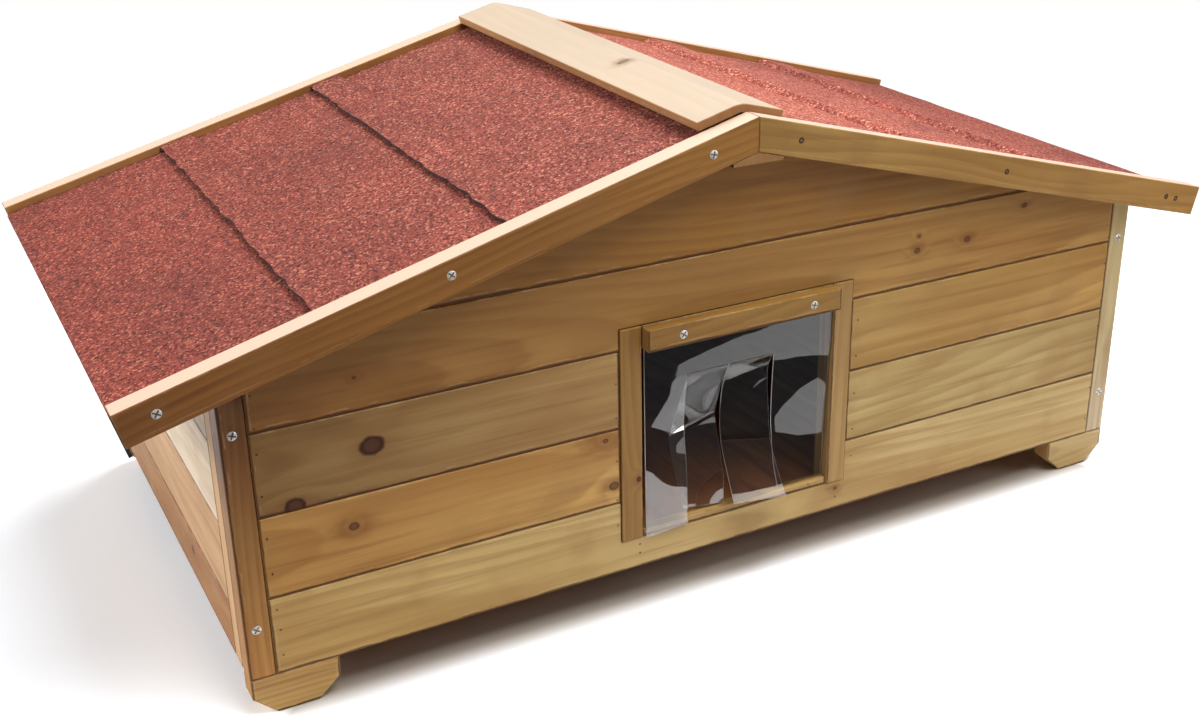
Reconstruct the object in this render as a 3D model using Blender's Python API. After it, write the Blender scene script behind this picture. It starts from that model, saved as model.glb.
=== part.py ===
"""Low outdoor cat house: board walls on four feet, a lift-off felted roof and a slit curtain door.

Sizes are in metres and +Z is up.  The origin is on the ground under the middle of the house,
+X runs to the right along the front wall and +Y runs to the back.
"""

import math

import bmesh
import bpy
from mathutils import Matrix, Vector

# House body
BODY_WIDTH = 0.860
BODY_DEPTH = 0.4785
BOARD_THICKNESS = 0.010
POST_SIDE = 0.0195
TONGUE_WIDTH = 0.015
ARRIS = 0.0006
ARRIS_ANGLE_DEGREES = 40
CONTACT_GAP = 0.0003
SEAM_GAP = 0.0007

# Seams between the courses of boards, from the ground up, as shares of the height from the body's
# underside to the ridge line, or for the side walls to the side wall's top
FRONT_SEAM_SHARES = (0.1716, 0.3500, 0.5284, 0.7068)
REAR_SEAM_SHARES = (0.2358, 0.4716, 0.7074)
SIDE_SEAM_SHARES = (0.1915, 0.4697, 0.7479)
REAR_STILE_WIDTH = 0.030

# Feet
FOOT_HEIGHT = 0.0335
FOOT_LENGTH = 0.069
FOOT_DEPTH = 0.0195
FOOT_CHAMFER_LENGTH = 0.0183
FOOT_CHAMFER_HEIGHT = 0.0168

# Floor
BEARER_HEIGHT = 0.0150
BEARER_WIDTH = 0.034
FLOOR_THICKNESS = 0.0080
FLOOR_CLEARANCE = 0.0005

# Door frame, its foot and head as shares of the same height as the front seams
DOOR_WIDTH = 0.1868
DOOR_CENTRE = -0.0017
FRAME_BOTTOM_SHARE = 0.0747
FRAME_TOP_SHARE = 0.5769
JAMB_WIDTH = 0.0191
JAMB_PROUD = 0.0015
SILL_HEIGHT = 0.0065
HEADER_HEIGHT = 0.0193
CLAMP_THICKNESS = 0.0105

# Clear curtain, clamped at its top and slit into four strips
SHEET_THICKNESS = 0.0010
SHEET_SIDE_CLEARANCE = 0.0024
SHEET_HIDDEN_HEIGHT = 0.0155
UNCUT_HEIGHT = 0.0315
STRIP_FLOOR_CLEARANCE = 0.0018
STRIP_GAP = 0.0007
STRIP_TOP_GAP = 0.0008
SLIT_SHARES = (0.2225, 0.4412, 0.6819)
STRIP_STEPS = 18
STRIP_COLUMNS = 3

# Roof, measured from the top plane of the bargeboards
RIDGE_HEIGHT = 0.4152
ROOF_PITCH_DEGREES = 15.06
EAVE_OVERHANG = 0.0705
BARGEBOARD_HEIGHT = 0.0273
BARGEBOARD_THICKNESS = 0.0188
ROOF_CLEARANCE = 0.0005
FELT_DEPTH = 0.0065
FELT_THICKNESS = 0.0027
FELT_SEAM_SHARES = (0.4116, 0.7113)
FELT_LAP = 0.030
FELT_STEP_LENGTH = 0.006
FELT_DROPS = {-1: 0.0365, 1: 0.0230}
FELT_CORNER_RADIUS = 0.0022
DECK_THICKNESS = 0.010
EAVE_BATTEN_WIDTH = 0.020
EAVE_BATTEN_HEIGHT = 0.010

# Ridge beam and cap
BEAM_WIDTH = 0.046
BEAM_BOTTOM_DROP = 0.0092
BEAM_TONGUE_WIDTH = 0.012
CAP_WIDTH = 0.076
CAP_THICKNESS = 0.0075
CAP_OFFSET = -0.005
CAP_SINK = 0.0006
CAP_CROWN_RADIUS = 0.022
ARC_STEPS = 4
CUT_OVERRUN = 0.004

# How each strip hangs: stations down its left and right edge as shares of the strip's length,
# each with the shift to the right, the shift to the front and the drop below the slit's top
STRIP_EDGE_SHARES = {
    "curtain_strip_1": (
        ((0, 0, 0), (0, 0.003, 0.2), (0, 0.006, 0.4), (0, 0.009, 0.6), (0, 0.012, 0.8), (0, 0.016, 0.985)),
        ((0, 0, 0), (0, -0.020, 0.17), (0, -0.038, 0.345), (0, -0.012, 0.55), (0, 0.006, 0.77),
         (0, 0.014, 0.969)),
    ),
    "curtain_strip_2": (
        ((0, 0, 0), (0, -0.063, 0.133), (0, -0.162, 0.360), (0, -0.235, 0.509), (0, -0.155, 0.693),
         (0, -0.048, 0.900)),
        ((0, 0, 0), (0, -0.085, 0.160), (0, -0.155, 0.375), (0, -0.090, 0.575), (0, -0.040, 0.760),
         (0, -0.036, 0.925)),
    ),
    "curtain_strip_3": (
        ((0, 0, 0), (0, -0.070, 0.160), (0, -0.099, 0.370), (0, -0.076, 0.550), (0, -0.006, 0.712),
         (0, 0.082, 0.885)),
        ((0, 0, 0), (0, -0.058, 0.120), (0, -0.040, 0.340), (0, -0.010, 0.550), (0.014, 0.049, 0.723),
         (0.049, 0.114, 0.908)),
    ),
    "curtain_strip_4": (
        ((0, 0, 0), (0, -0.026, 0.200), (0, -0.030, 0.400), (0.012, -0.038, 0.560), (0.035, -0.052, 0.745),
         (0.085, -0.086, 0.955)),
        ((0, 0, 0), (0, -0.035, 0.200), (0, -0.058, 0.360), (0, -0.066, 0.520), (0, -0.072, 0.720),
         (0, -0.086, 0.955)),
    ),
}

FRONT, REAR = -1, 1
LEFT, RIGHT = -1, 1
SIDE_NAMES = {LEFT: "left", RIGHT: "right"}
FACE_NAMES = {FRONT: "front", REAR: "rear"}

# Values worked out from the sizes above
PITCH = math.radians(ROOF_PITCH_DEGREES)
HALF_WIDTH = BODY_WIDTH / 2
HALF_DEPTH = BODY_DEPTH / 2
BODY_BOTTOM = FOOT_HEIGHT
DECK_TOP_DEPTH = FELT_DEPTH + FELT_THICKNESS + CONTACT_GAP
DECK_BOTTOM_DEPTH = DECK_TOP_DEPTH + DECK_THICKNESS
WALL_TOP_DEPTH = DECK_BOTTOM_DEPTH + CONTACT_GAP
SLOPE_LENGTH = (HALF_WIDTH + EAVE_OVERHANG) / math.cos(PITCH)
DECK_END = SLOPE_LENGTH - FELT_THICKNESS + CONTACT_GAP * 2
GABLE_HEIGHT = RIDGE_HEIGHT - BODY_BOTTOM
FRAME_BOTTOM = BODY_BOTTOM + GABLE_HEIGHT * FRAME_BOTTOM_SHARE
FRAME_TOP = BODY_BOTTOM + GABLE_HEIGHT * FRAME_TOP_SHARE
DOOR_LEFT = DOOR_CENTRE - DOOR_WIDTH / 2
DOOR_RIGHT = DOOR_CENTRE + DOOR_WIDTH / 2
SHEET_INSET = -CONTACT_GAP - SHEET_THICKNESS / 2
SHEET_LEFT = DOOR_LEFT + SHEET_SIDE_CLEARANCE
SHEET_RIGHT = DOOR_RIGHT - SHEET_SIDE_CLEARANCE
SLIT_TOP = FRAME_TOP - HEADER_HEIGHT - UNCUT_HEIGHT
FLOOR_BOTTOM = BODY_BOTTOM + BEARER_HEIGHT + CONTACT_GAP
FLOOR_TOP = FLOOR_BOTTOM + FLOOR_THICKNESS
STRIP_LENGTH = SLIT_TOP - STRIP_TOP_GAP - FLOOR_TOP - STRIP_FLOOR_CLEARANCE


def roof_height(x, depth):
    """Height of the plane that lies a square depth below the bargeboards' top plane."""
    return RIDGE_HEIGHT - abs(x) * math.tan(PITCH) - depth / math.cos(PITCH)


def roof_reach(height, depth):
    """Distance from the middle at which that plane comes down to a height."""
    return (roof_height(0, depth) - height) / math.tan(PITCH)


BEAM_BOTTOM = roof_height(0, BARGEBOARD_HEIGHT) - BEAM_BOTTOM_DROP
CAP_REFERENCE = RIDGE_HEIGHT - CAP_SINK


def wall_top(x):
    """Height of the top of a wall piece, just under the roof deck."""
    return roof_height(x, WALL_TOP_DEPTH)


def face_y(face, inset):
    """Place in depth of a plane that lies inset from the front or the rear of the house."""
    return face * (HALF_DEPTH - inset)


def side_x(side, inset):
    """Place across of a plane that lies inset from the left or the right of the house."""
    return side * (HALF_WIDTH - inset)


def slope_point(side, along, rise):
    """Place in a front view of a point down one roof slope and square off its top plane."""
    across = along * math.cos(PITCH) + rise * math.sin(PITCH)
    return (side * across, RIDGE_HEIGHT - along * math.sin(PITCH) + rise * math.cos(PITCH))


def plumb_along(across, rise):
    """Distance down the slope of a point that stands a given way from the ridge line."""
    return (across - rise * math.sin(PITCH)) / math.cos(PITCH)


def clear_scene():
    """Start from a scene without objects."""
    for item in list(bpy.data.objects):
        bpy.data.objects.remove(item, do_unlink=True)


def make_material(name, colour, roughness, metallic=0.0, alpha=1.0):
    """Plain surface with the colour, roughness and metallic value of a finish."""
    material = bpy.data.materials.new(name)
    material.use_nodes = True
    shader = material.node_tree.nodes["Principled BSDF"]
    shader.inputs["Base Color"].default_value = (*colour, 1.0)
    shader.inputs["Roughness"].default_value = roughness
    shader.inputs["Metallic"].default_value = metallic
    shader.inputs["Alpha"].default_value = alpha
    return material


def add_object(name, mesh, origin, finish, parent=None):
    """Link a mesh as a named piece whose origin is at a given place."""
    mesh.transform(Matrix.Translation(-origin))
    piece = bpy.data.objects.new(name, mesh)
    piece.location = origin
    colour, roughness, metallic, alpha = finish
    mesh.materials.append(make_material(name, colour, roughness, metallic, alpha))
    bpy.context.collection.objects.link(piece)
    if parent is not None:
        piece.parent = parent
    return piece


def middle_of(mesh):
    """Middle of the box round a mesh."""
    corners = [vertex.co for vertex in mesh.vertices]
    low = Vector(min(corner[axis] for corner in corners) for axis in range(3))
    high = Vector(max(corner[axis] for corner in corners) for axis in range(3))
    return (low + high) / 2


def solid_between(name, first_ring, second_ring):
    """Closed mesh between two like rings of corners."""
    shape = bmesh.new()
    first = [shape.verts.new(corner) for corner in first_ring]
    second = [shape.verts.new(corner) for corner in second_ring]
    shape.faces.new(first)
    shape.faces.new(second)
    count = len(first)
    for index in range(count):
        follower = (index + 1) % count
        shape.faces.new((first[index], first[follower], second[follower], second[index]))
    bmesh.ops.recalc_face_normals(shape, faces=shape.faces)
    mesh = bpy.data.meshes.new(name)
    shape.to_mesh(mesh)
    shape.free()
    return mesh


def ease_edges(piece):
    """Take the sharp arris off a wooden piece."""
    bevel = piece.modifiers.new("arris", "BEVEL")
    bevel.width = ARRIS
    bevel.segments = 1
    bevel.limit_method = "ANGLE"
    bevel.angle_limit = math.radians(ARRIS_ANGLE_DEGREES)


def front_prism(name, outline, start, end, finish, parent=None, eased=True):
    """Piece with an outline seen from the front, running from one depth to another."""
    mesh = solid_between(
        name,
        [(x, start, z) for x, z in outline],
        [(x, end, z) for x, z in outline],
    )
    piece = add_object(name, mesh, middle_of(mesh), finish, parent)
    if eased:
        ease_edges(piece)
    return piece


def upright(name, outline, bottom, finish, eased=True):
    """Piece with an outline seen from above, standing on a height and cut to the roof's slope."""
    mesh = solid_between(
        name,
        [(x, y, bottom) for x, y in outline],
        [(x, y, wall_top(x)) for x, y in outline],
    )
    piece = add_object(name, mesh, middle_of(mesh), finish)
    if eased:
        ease_edges(piece)
    return piece


def block(name, across, deep, high, finish, parent=None, eased=True):
    """Straight piece between pairs of places across, in depth and in height."""
    outline = rectangle(across[0], across[1], high[0], high[1])
    return front_prism(name, outline, deep[0], deep[1], finish, parent, eased)


def rectangle(left, right, bottom, top):
    """Corners of a rectangle."""
    return [(left, bottom), (right, bottom), (right, top), (left, top)]


def add_boolean(piece, tool, operation):
    """Cut a piece by a hidden tool or join the tool to it."""
    tool.hide_render = True
    tool.display_type = "WIRE"
    step = piece.modifiers.new(operation.lower(), "BOOLEAN")
    step.operation = operation
    step.solver = "EXACT"
    step.object = tool


HONEY_FIR = ((0.42, 0.24, 0.09), 0.55, 0.0, 1.0)
PALE_FIR = ((0.60, 0.42, 0.24), 0.60, 0.0, 1.0)
BROWN_FIR = ((0.30, 0.15, 0.05), 0.50, 0.0, 1.0)
CAP_FIR = ((0.72, 0.55, 0.33), 0.55, 0.0, 1.0)
RAW_FIR = ((0.50, 0.34, 0.18), 0.75, 0.0, 1.0)
FLOOR_PLY = ((0.25, 0.12, 0.06), 0.50, 0.0, 1.0)
RED_FELT = ((0.36, 0.09, 0.07), 0.95, 0.0, 1.0)
CLEAR_SHEET = ((0.80, 0.82, 0.84), 0.08, 0.0, 0.35)


def corner_outline(side, face):
    """Rebated corner post seen from above: a square with a tongue behind the board ends."""
    inner = POST_SIDE
    tongue = POST_SIDE + TONGUE_WIDTH
    rebate = BOARD_THICKNESS + CONTACT_GAP
    places = [(0, 0), (inner, 0), (inner, rebate), (tongue, rebate), (tongue, POST_SIDE), (0, POST_SIDE)]
    return [(side_x(side, across), face_y(face, deep)) for across, deep in places]


def side_batten_outline(side, face):
    """End batten of a side panel seen from above, with its tongue behind the side boards."""
    near = POST_SIDE + CONTACT_GAP
    far = near + POST_SIDE
    tongue = far + TONGUE_WIDTH
    rebate = BOARD_THICKNESS + CONTACT_GAP
    places = [(0, near), (POST_SIDE, near), (POST_SIDE, tongue), (rebate, tongue), (rebate, far), (0, far)]
    return [(side_x(side, across), face_y(face, deep)) for across, deep in places]


def gable_outline(left, right, bottom, top):
    """Wall board clipped to the roof's slope and notched for the ridge beam."""
    reach = roof_reach(bottom, WALL_TOP_DEPTH)
    left = max(left, -reach)
    right = min(right, reach)
    flat = roof_reach(top, WALL_TOP_DEPTH)
    outline = [(left, bottom), (right, bottom)]
    notch = BEAM_WIDTH / 2 + ROOF_CLEARANCE
    notch_bottom = BEAM_BOTTOM - CONTACT_GAP
    if wall_top(right) > bottom + CONTACT_GAP:
        outline.append((right, min(top, wall_top(right))))
    if notch < flat < right:
        outline.append((flat, top))
    if top > notch_bottom:
        outline += [(notch, min(top, wall_top(notch))), (notch, notch_bottom)]
        outline += [(-notch, notch_bottom), (-notch, min(top, wall_top(notch)))]
    if notch < flat < -left:
        outline.append((-flat, top))
    if wall_top(left) > bottom + CONTACT_GAP:
        outline.append((left, min(top, wall_top(left))))
    return outline


def notch_board(outline, low, high):
    """Cut the door frame's place out of the lower or the upper edge of a board outline."""
    left = DOOR_LEFT - JAMB_WIDTH - SEAM_GAP
    right = DOOR_RIGHT + JAMB_WIDTH + SEAM_GAP
    bottom = min(z for x, z in outline)
    top = max(z for x, z in outline)
    if low > bottom and high >= top:
        return outline[:3] + [(right, top), (right, low), (left, low), (left, top)] + outline[3:]
    if high < top and low <= bottom:
        return outline[:1] + [(left, bottom), (left, high), (right, high), (right, bottom)] + outline[1:]
    return outline


def course_edges(shares, height):
    """Heights of a wall's foot and of its seams, which are given as shares of a height."""
    return [BODY_BOTTOM] + [BODY_BOTTOM + height * share for share in shares]


def build_front_wall():
    """Front wall: two posts and five courses of boards round the door frame."""
    board_left = side_x(LEFT, POST_SIDE + SEAM_GAP)
    board_right = side_x(RIGHT, POST_SIDE + SEAM_GAP)
    depths = (face_y(FRONT, 0), face_y(FRONT, BOARD_THICKNESS))
    edges = course_edges(FRONT_SEAM_SHARES, GABLE_HEIGHT)
    edges.append(wall_top(0))
    half_seam = SEAM_GAP / 2
    for number in range(1, len(edges)):
        low = edges[number - 1] + (half_seam if number > 1 else 0)
        high = edges[number] - (half_seam if number < len(edges) - 1 else 0)
        name = f"front_board_{number}"
        if number == len(edges) - 1:
            outline = gable_outline(board_left, board_right, low, high)
            front_prism("front_gable_board", outline, *depths, HONEY_FIR)
        elif low >= FRAME_BOTTOM and high <= FRAME_TOP:
            frame_left = DOOR_LEFT - JAMB_WIDTH - SEAM_GAP
            frame_right = DOOR_RIGHT + JAMB_WIDTH + SEAM_GAP
            block(name + "_left", (board_left, frame_left), depths, (low, high), HONEY_FIR)
            block(name + "_right", (frame_right, board_right), depths, (low, high), HONEY_FIR)
        else:
            outline = gable_outline(board_left, board_right, low, high)
            outline = notch_board(outline, FRAME_BOTTOM - SEAM_GAP, FRAME_TOP + SEAM_GAP)
            front_prism(name, outline, *depths, HONEY_FIR)
    for side in (LEFT, RIGHT):
        upright(f"front_{SIDE_NAMES[side]}_post", corner_outline(side, FRONT), BODY_BOTTOM, HONEY_FIR)


def build_jamb(side):
    """Door jamb: a batten in the doorway on a stile that runs from the foot to the roof."""
    edge = DOOR_LEFT if side == LEFT else DOOR_RIGHT
    stile_inset = (BOARD_THICKNESS + CONTACT_GAP, POST_SIDE)
    stile_outline = [
        (edge, face_y(FRONT, stile_inset[0])),
        (edge + side * (JAMB_WIDTH + TONGUE_WIDTH), face_y(FRONT, stile_inset[0])),
        (edge + side * (JAMB_WIDTH + TONGUE_WIDTH), face_y(FRONT, stile_inset[1])),
        (edge, face_y(FRONT, stile_inset[1])),
    ]
    name = f"door_{SIDE_NAMES[side]}_jamb"
    jamb = upright(name, stile_outline, BODY_BOTTOM, HONEY_FIR, eased=False)
    batten = block(
        name + "_batten_tool",
        sorted((edge, edge + side * JAMB_WIDTH)),
        (face_y(FRONT, -JAMB_PROUD), face_y(FRONT, POST_SIDE - CUT_OVERRUN)),
        (FRAME_BOTTOM, FRAME_TOP),
        HONEY_FIR,
        eased=False,
    )
    add_boolean(jamb, batten, "UNION")
    ease_edges(jamb)


def build_door_frame():
    """Door frame: jambs, sill, header and the batten that clamps the curtain."""
    build_jamb(LEFT)
    build_jamb(RIGHT)
    inside = (DOOR_LEFT + CONTACT_GAP, DOOR_RIGHT - CONTACT_GAP)
    block("door_sill", inside, (face_y(FRONT, 0), face_y(FRONT, BOARD_THICKNESS)),
          (FRAME_BOTTOM, FRAME_BOTTOM + SILL_HEIGHT), HONEY_FIR)
    header_heights = (FRAME_TOP - HEADER_HEIGHT, FRAME_TOP)
    block("door_header", inside, (face_y(FRONT, 0), face_y(FRONT, POST_SIDE)), header_heights, HONEY_FIR)
    clamp_back = -SHEET_THICKNESS - CONTACT_GAP * 2
    block("curtain_clamp_batten", inside,
          (face_y(FRONT, clamp_back - CLAMP_THICKNESS), face_y(FRONT, clamp_back)),
          header_heights, HONEY_FIR)


def smooth_station(stations, share):
    """Point on a smooth curve through evenly numbered stations, at a share of its run."""
    spans = len(stations) - 1
    span = min(int(share * spans), spans - 1)
    local = share * spans - span
    points = [Vector(stations[max(0, min(spans, span + step))]) for step in (-1, 0, 1, 2)]
    before, start, end, after = points
    into = (end - before) / 2
    out_of = (after - start) / 2
    square = local * local
    cube = square * local
    return (start * (2 * cube - 3 * square + 1) + into * (cube - 2 * square + local)
            + end * (3 * square - 2 * cube) + out_of * (cube - square))


def strip_surface(edges, left, right):
    """Grid of places on the middle of a hanging strip, measured from the slits' top line."""
    rows = []
    for row in range(STRIP_STEPS + 1):
        share = row / STRIP_STEPS
        left_shift = smooth_station(edges[0], share) * STRIP_LENGTH
        right_shift = smooth_station(edges[1], share) * STRIP_LENGTH
        line = []
        for column in range(STRIP_COLUMNS + 1):
            mix = column / STRIP_COLUMNS
            shift = left_shift.lerp(right_shift, mix)
            across = left + (right - left) * mix + shift.x
            line.append(Vector((across, -shift.y, -STRIP_TOP_GAP - shift.z)))
        rows.append(line)
    return rows


def thin_solid(name, rows, thickness):
    """Closed thin mesh round a grid of places."""
    shape = bmesh.new()
    half = Vector((0, thickness / 2, 0))
    outer = [[shape.verts.new(place - half) for place in line] for line in rows]
    inner = [[shape.verts.new(place + half) for place in line] for line in rows]
    last_row = len(rows) - 1
    last_column = len(rows[0]) - 1
    for row in range(last_row):
        for column in range(last_column):
            for skin in (outer, inner):
                shape.faces.new((skin[row][column], skin[row][column + 1],
                                 skin[row + 1][column + 1], skin[row + 1][column]))
        for column in (0, last_column):
            shape.faces.new((outer[row][column], outer[row + 1][column],
                             inner[row + 1][column], inner[row][column]))
    for row in (0, last_row):
        for column in range(last_column):
            shape.faces.new((outer[row][column], outer[row][column + 1],
                             inner[row][column + 1], inner[row][column]))
    bmesh.ops.recalc_face_normals(shape, faces=shape.faces)
    mesh = bpy.data.meshes.new(name)
    shape.to_mesh(mesh)
    shape.free()
    for face in mesh.polygons:
        face.use_smooth = True
    return mesh


def build_curtain():
    """Clear sheet under the clamp batten and its four strips, each hung on the slits' top line."""
    sheet_depths = (face_y(FRONT, SHEET_INSET - SHEET_THICKNESS / 2),
                    face_y(FRONT, SHEET_INSET + SHEET_THICKNESS / 2))
    sheet_top = FRAME_TOP - HEADER_HEIGHT + SHEET_HIDDEN_HEIGHT
    block("curtain_top", (SHEET_LEFT, SHEET_RIGHT), sheet_depths, (SLIT_TOP, sheet_top), CLEAR_SHEET,
          eased=False)
    sheet_width = SHEET_RIGHT - SHEET_LEFT
    cuts = [SHEET_LEFT] + [SHEET_LEFT + share * sheet_width for share in SLIT_SHARES] + [SHEET_RIGHT]
    for index, (name, edges) in enumerate(STRIP_EDGE_SHARES.items()):
        left = cuts[index] + (STRIP_GAP / 2 if index > 0 else 0)
        right = cuts[index + 1] - (STRIP_GAP / 2 if index < len(SLIT_SHARES) else 0)
        middle = (left + right) / 2
        hinge = Vector((middle, face_y(FRONT, SHEET_INSET), SLIT_TOP))
        rows = strip_surface(edges, left - middle, right - middle)
        mesh = thin_solid(name, [[place + hinge for place in line] for line in rows], SHEET_THICKNESS)
        add_object(name, mesh, hinge, CLEAR_SHEET)


def build_side_wall(side):
    """Side wall: two end battens and four courses of boards."""
    prefix = SIDE_NAMES[side]
    for face in (FRONT, REAR):
        upright(f"{prefix}_{FACE_NAMES[face]}_batten", side_batten_outline(side, face), BODY_BOTTOM,
                PALE_FIR)
    start = POST_SIDE * 2 + CONTACT_GAP + SEAM_GAP
    depths = (face_y(FRONT, start), face_y(REAR, start))
    outer = side_x(side, 0)
    inner = side_x(side, BOARD_THICKNESS)
    edges = course_edges(SIDE_SEAM_SHARES, wall_top(outer) - BODY_BOTTOM)
    half_seam = SEAM_GAP / 2
    for number, low in enumerate(edges, start=1):
        bottom = low + (half_seam if number > 1 else 0)
        if number < len(edges):
            tops = (edges[number] - half_seam,) * 2
        else:
            tops = (wall_top(inner), wall_top(outer))
        outline = [(outer, bottom), (inner, bottom), (inner, tops[0]), (outer, tops[1])]
        front_prism(f"{prefix}_side_board_{number}", outline, *depths, PALE_FIR)


def build_rear_wall():
    """Rear wall: two posts, a middle stile and four courses of wider boards."""
    board_left = side_x(LEFT, POST_SIDE + SEAM_GAP)
    board_right = side_x(RIGHT, POST_SIDE + SEAM_GAP)
    depths = (face_y(REAR, BOARD_THICKNESS), face_y(REAR, 0))
    edges = course_edges(REAR_SEAM_SHARES, GABLE_HEIGHT)
    edges.append(wall_top(0))
    half_seam = SEAM_GAP / 2
    for number in range(1, len(edges)):
        low = edges[number - 1] + (half_seam if number > 1 else 0)
        high = edges[number] - (half_seam if number < len(edges) - 1 else 0)
        name = f"rear_board_{number}" if number < len(edges) - 1 else "rear_gable_board"
        front_prism(name, gable_outline(board_left, board_right, low, high), *depths, PALE_FIR)
    for side in (LEFT, RIGHT):
        upright(f"rear_{SIDE_NAMES[side]}_post", corner_outline(side, REAR), BODY_BOTTOM, PALE_FIR)
    block("rear_middle_stile", (-REAR_STILE_WIDTH / 2, REAR_STILE_WIDTH / 2),
          (face_y(REAR, POST_SIDE), face_y(REAR, BOARD_THICKNESS + CONTACT_GAP)),
          (BODY_BOTTOM, BEAM_BOTTOM - CONTACT_GAP), RAW_FIR)


def build_feet():
    """Four chamfered foot blocks under the corners."""
    for face in (FRONT, REAR):
        for side in (LEFT, RIGHT):
            places = [
                (0, FOOT_HEIGHT - CONTACT_GAP),
                (0, FOOT_CHAMFER_HEIGHT),
                (FOOT_CHAMFER_LENGTH, 0),
                (FOOT_LENGTH - FOOT_CHAMFER_LENGTH, 0),
                (FOOT_LENGTH, FOOT_CHAMFER_HEIGHT),
                (FOOT_LENGTH, FOOT_HEIGHT - CONTACT_GAP),
            ]
            outline = [(side_x(side, across), height) for across, height in places]
            front_prism(f"{FACE_NAMES[face]}_{SIDE_NAMES[side]}_foot", outline,
                        face_y(face, 0), face_y(face, FOOT_DEPTH), HONEY_FIR)


def build_floor():
    """Floor panel on one bearer between the side walls."""
    bearer_reach = HALF_WIDTH - BOARD_THICKNESS - CONTACT_GAP
    block("floor_bearer", (-bearer_reach, bearer_reach), (-BEARER_WIDTH / 2, BEARER_WIDTH / 2),
          (BODY_BOTTOM, BODY_BOTTOM + BEARER_HEIGHT), RAW_FIR)
    floor_reach = HALF_WIDTH - POST_SIDE - FLOOR_CLEARANCE
    floor_inset = POST_SIDE + FLOOR_CLEARANCE
    block("floor_panel", (-floor_reach, floor_reach),
          (face_y(FRONT, floor_inset), face_y(REAR, floor_inset)),
          (FLOOR_BOTTOM, FLOOR_TOP), FLOOR_PLY)


def slope_outline(side, places):
    """Front-view outline from places given down the slope and square off it."""
    return [slope_point(side, along, rise) for along, rise in places]


def build_deck(side, roof):
    """Roof deck of one side with its eave batten below."""
    prefix = SIDE_NAMES[side]
    ridge_edge = BEAM_TONGUE_WIDTH / 2 + CONTACT_GAP
    reach = HALF_DEPTH + ROOF_CLEARANCE - CONTACT_GAP
    top, bottom = -DECK_TOP_DEPTH, -DECK_BOTTOM_DEPTH
    places = [(plumb_along(ridge_edge, top), top), (DECK_END, top),
              (DECK_END, bottom), (plumb_along(ridge_edge, bottom), bottom)]
    front_prism(f"{prefix}_roof_deck", slope_outline(side, places), -reach, reach, RAW_FIR, roof)
    batten_top = bottom - CONTACT_GAP
    batten_bottom = batten_top - EAVE_BATTEN_HEIGHT
    batten_start = DECK_END - EAVE_BATTEN_WIDTH
    places = [(batten_start, batten_top), (DECK_END, batten_top),
              (DECK_END, batten_bottom), (batten_start, batten_bottom)]
    front_prism(f"{prefix}_eave_batten", slope_outline(side, places), -reach, reach, RAW_FIR, roof)


def felt_places(start, end, over_lap, drop):
    """Section of one felt course: flat on the deck, then up over the course below or down the eave."""
    base = -DECK_TOP_DEPTH + CONTACT_GAP
    rise = FELT_THICKNESS + CONTACT_GAP
    under = [(start, base)]
    over = [(start, base + FELT_THICKNESS)]
    if over_lap:
        step_end = end - FELT_LAP - CONTACT_GAP
        step_start = step_end - FELT_STEP_LENGTH
        under += [(step_start, base), (step_end, base + rise), (end, base + rise)]
        over += [(step_start, base + FELT_THICKNESS), (step_end, base + rise + FELT_THICKNESS),
                 (end, base + rise + FELT_THICKNESS)]
    else:
        outer = end + FELT_THICKNESS
        tail = base + FELT_THICKNESS - drop
        under += [(end, base), (end, tail)]
        centre = (outer - FELT_CORNER_RADIUS, base + FELT_THICKNESS - FELT_CORNER_RADIUS)
        for step in range(ARC_STEPS + 1):
            turn = math.pi / 2 * (1 - step / ARC_STEPS)
            over.append((centre[0] + FELT_CORNER_RADIUS * math.cos(turn),
                         centre[1] + FELT_CORNER_RADIUS * math.sin(turn)))
        over.append((outer, tail))
    return over + under[::-1]


def build_felt(side, roof):
    """Three lapped courses of felt on one slope, the lowest folded down over the eave."""
    reach = HALF_DEPTH + ROOF_CLEARANCE - CONTACT_GAP
    eave = DECK_END + CONTACT_GAP
    upper_end, middle_end = (eave * share for share in FELT_SEAM_SHARES)
    ridge_start = plumb_along(BEAM_TONGUE_WIDTH / 2 + CONTACT_GAP, -DECK_TOP_DEPTH + CONTACT_GAP)
    courses = (
        ("upper", ridge_start, upper_end, True),
        ("middle", upper_end - FELT_LAP, middle_end, True),
        ("eave", middle_end - FELT_LAP, eave, False),
    )
    for word, start, end, over_lap in courses:
        outline = slope_outline(side, felt_places(start, end, over_lap, FELT_DROPS[side]))
        front_prism(f"{SIDE_NAMES[side]}_{word}_felt", outline, -reach, reach, RED_FELT, roof, eased=False)


def build_bargeboard(side, face, roof):
    """Bargeboard down one edge of the roof, cut plumb at the ridge and square at the eave."""
    near = CONTACT_GAP / 2
    bottom = -BARGEBOARD_HEIGHT
    places = [(plumb_along(near, 0), 0), (SLOPE_LENGTH, 0), (SLOPE_LENGTH, bottom),
              (plumb_along(near, bottom), bottom)]
    start = face_y(face, -ROOF_CLEARANCE)
    end = face_y(face, -ROOF_CLEARANCE - BARGEBOARD_THICKNESS)
    name = f"{FACE_NAMES[face]}_{SIDE_NAMES[side]}_bargeboard"
    front_prism(name, slope_outline(side, places), start, end, BROWN_FIR, roof)


def cap_underside(x):
    """Height of the underside of the ridge cap, which sits a little off the middle."""
    return CAP_REFERENCE - abs(x - CAP_OFFSET) * math.tan(PITCH)


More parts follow.
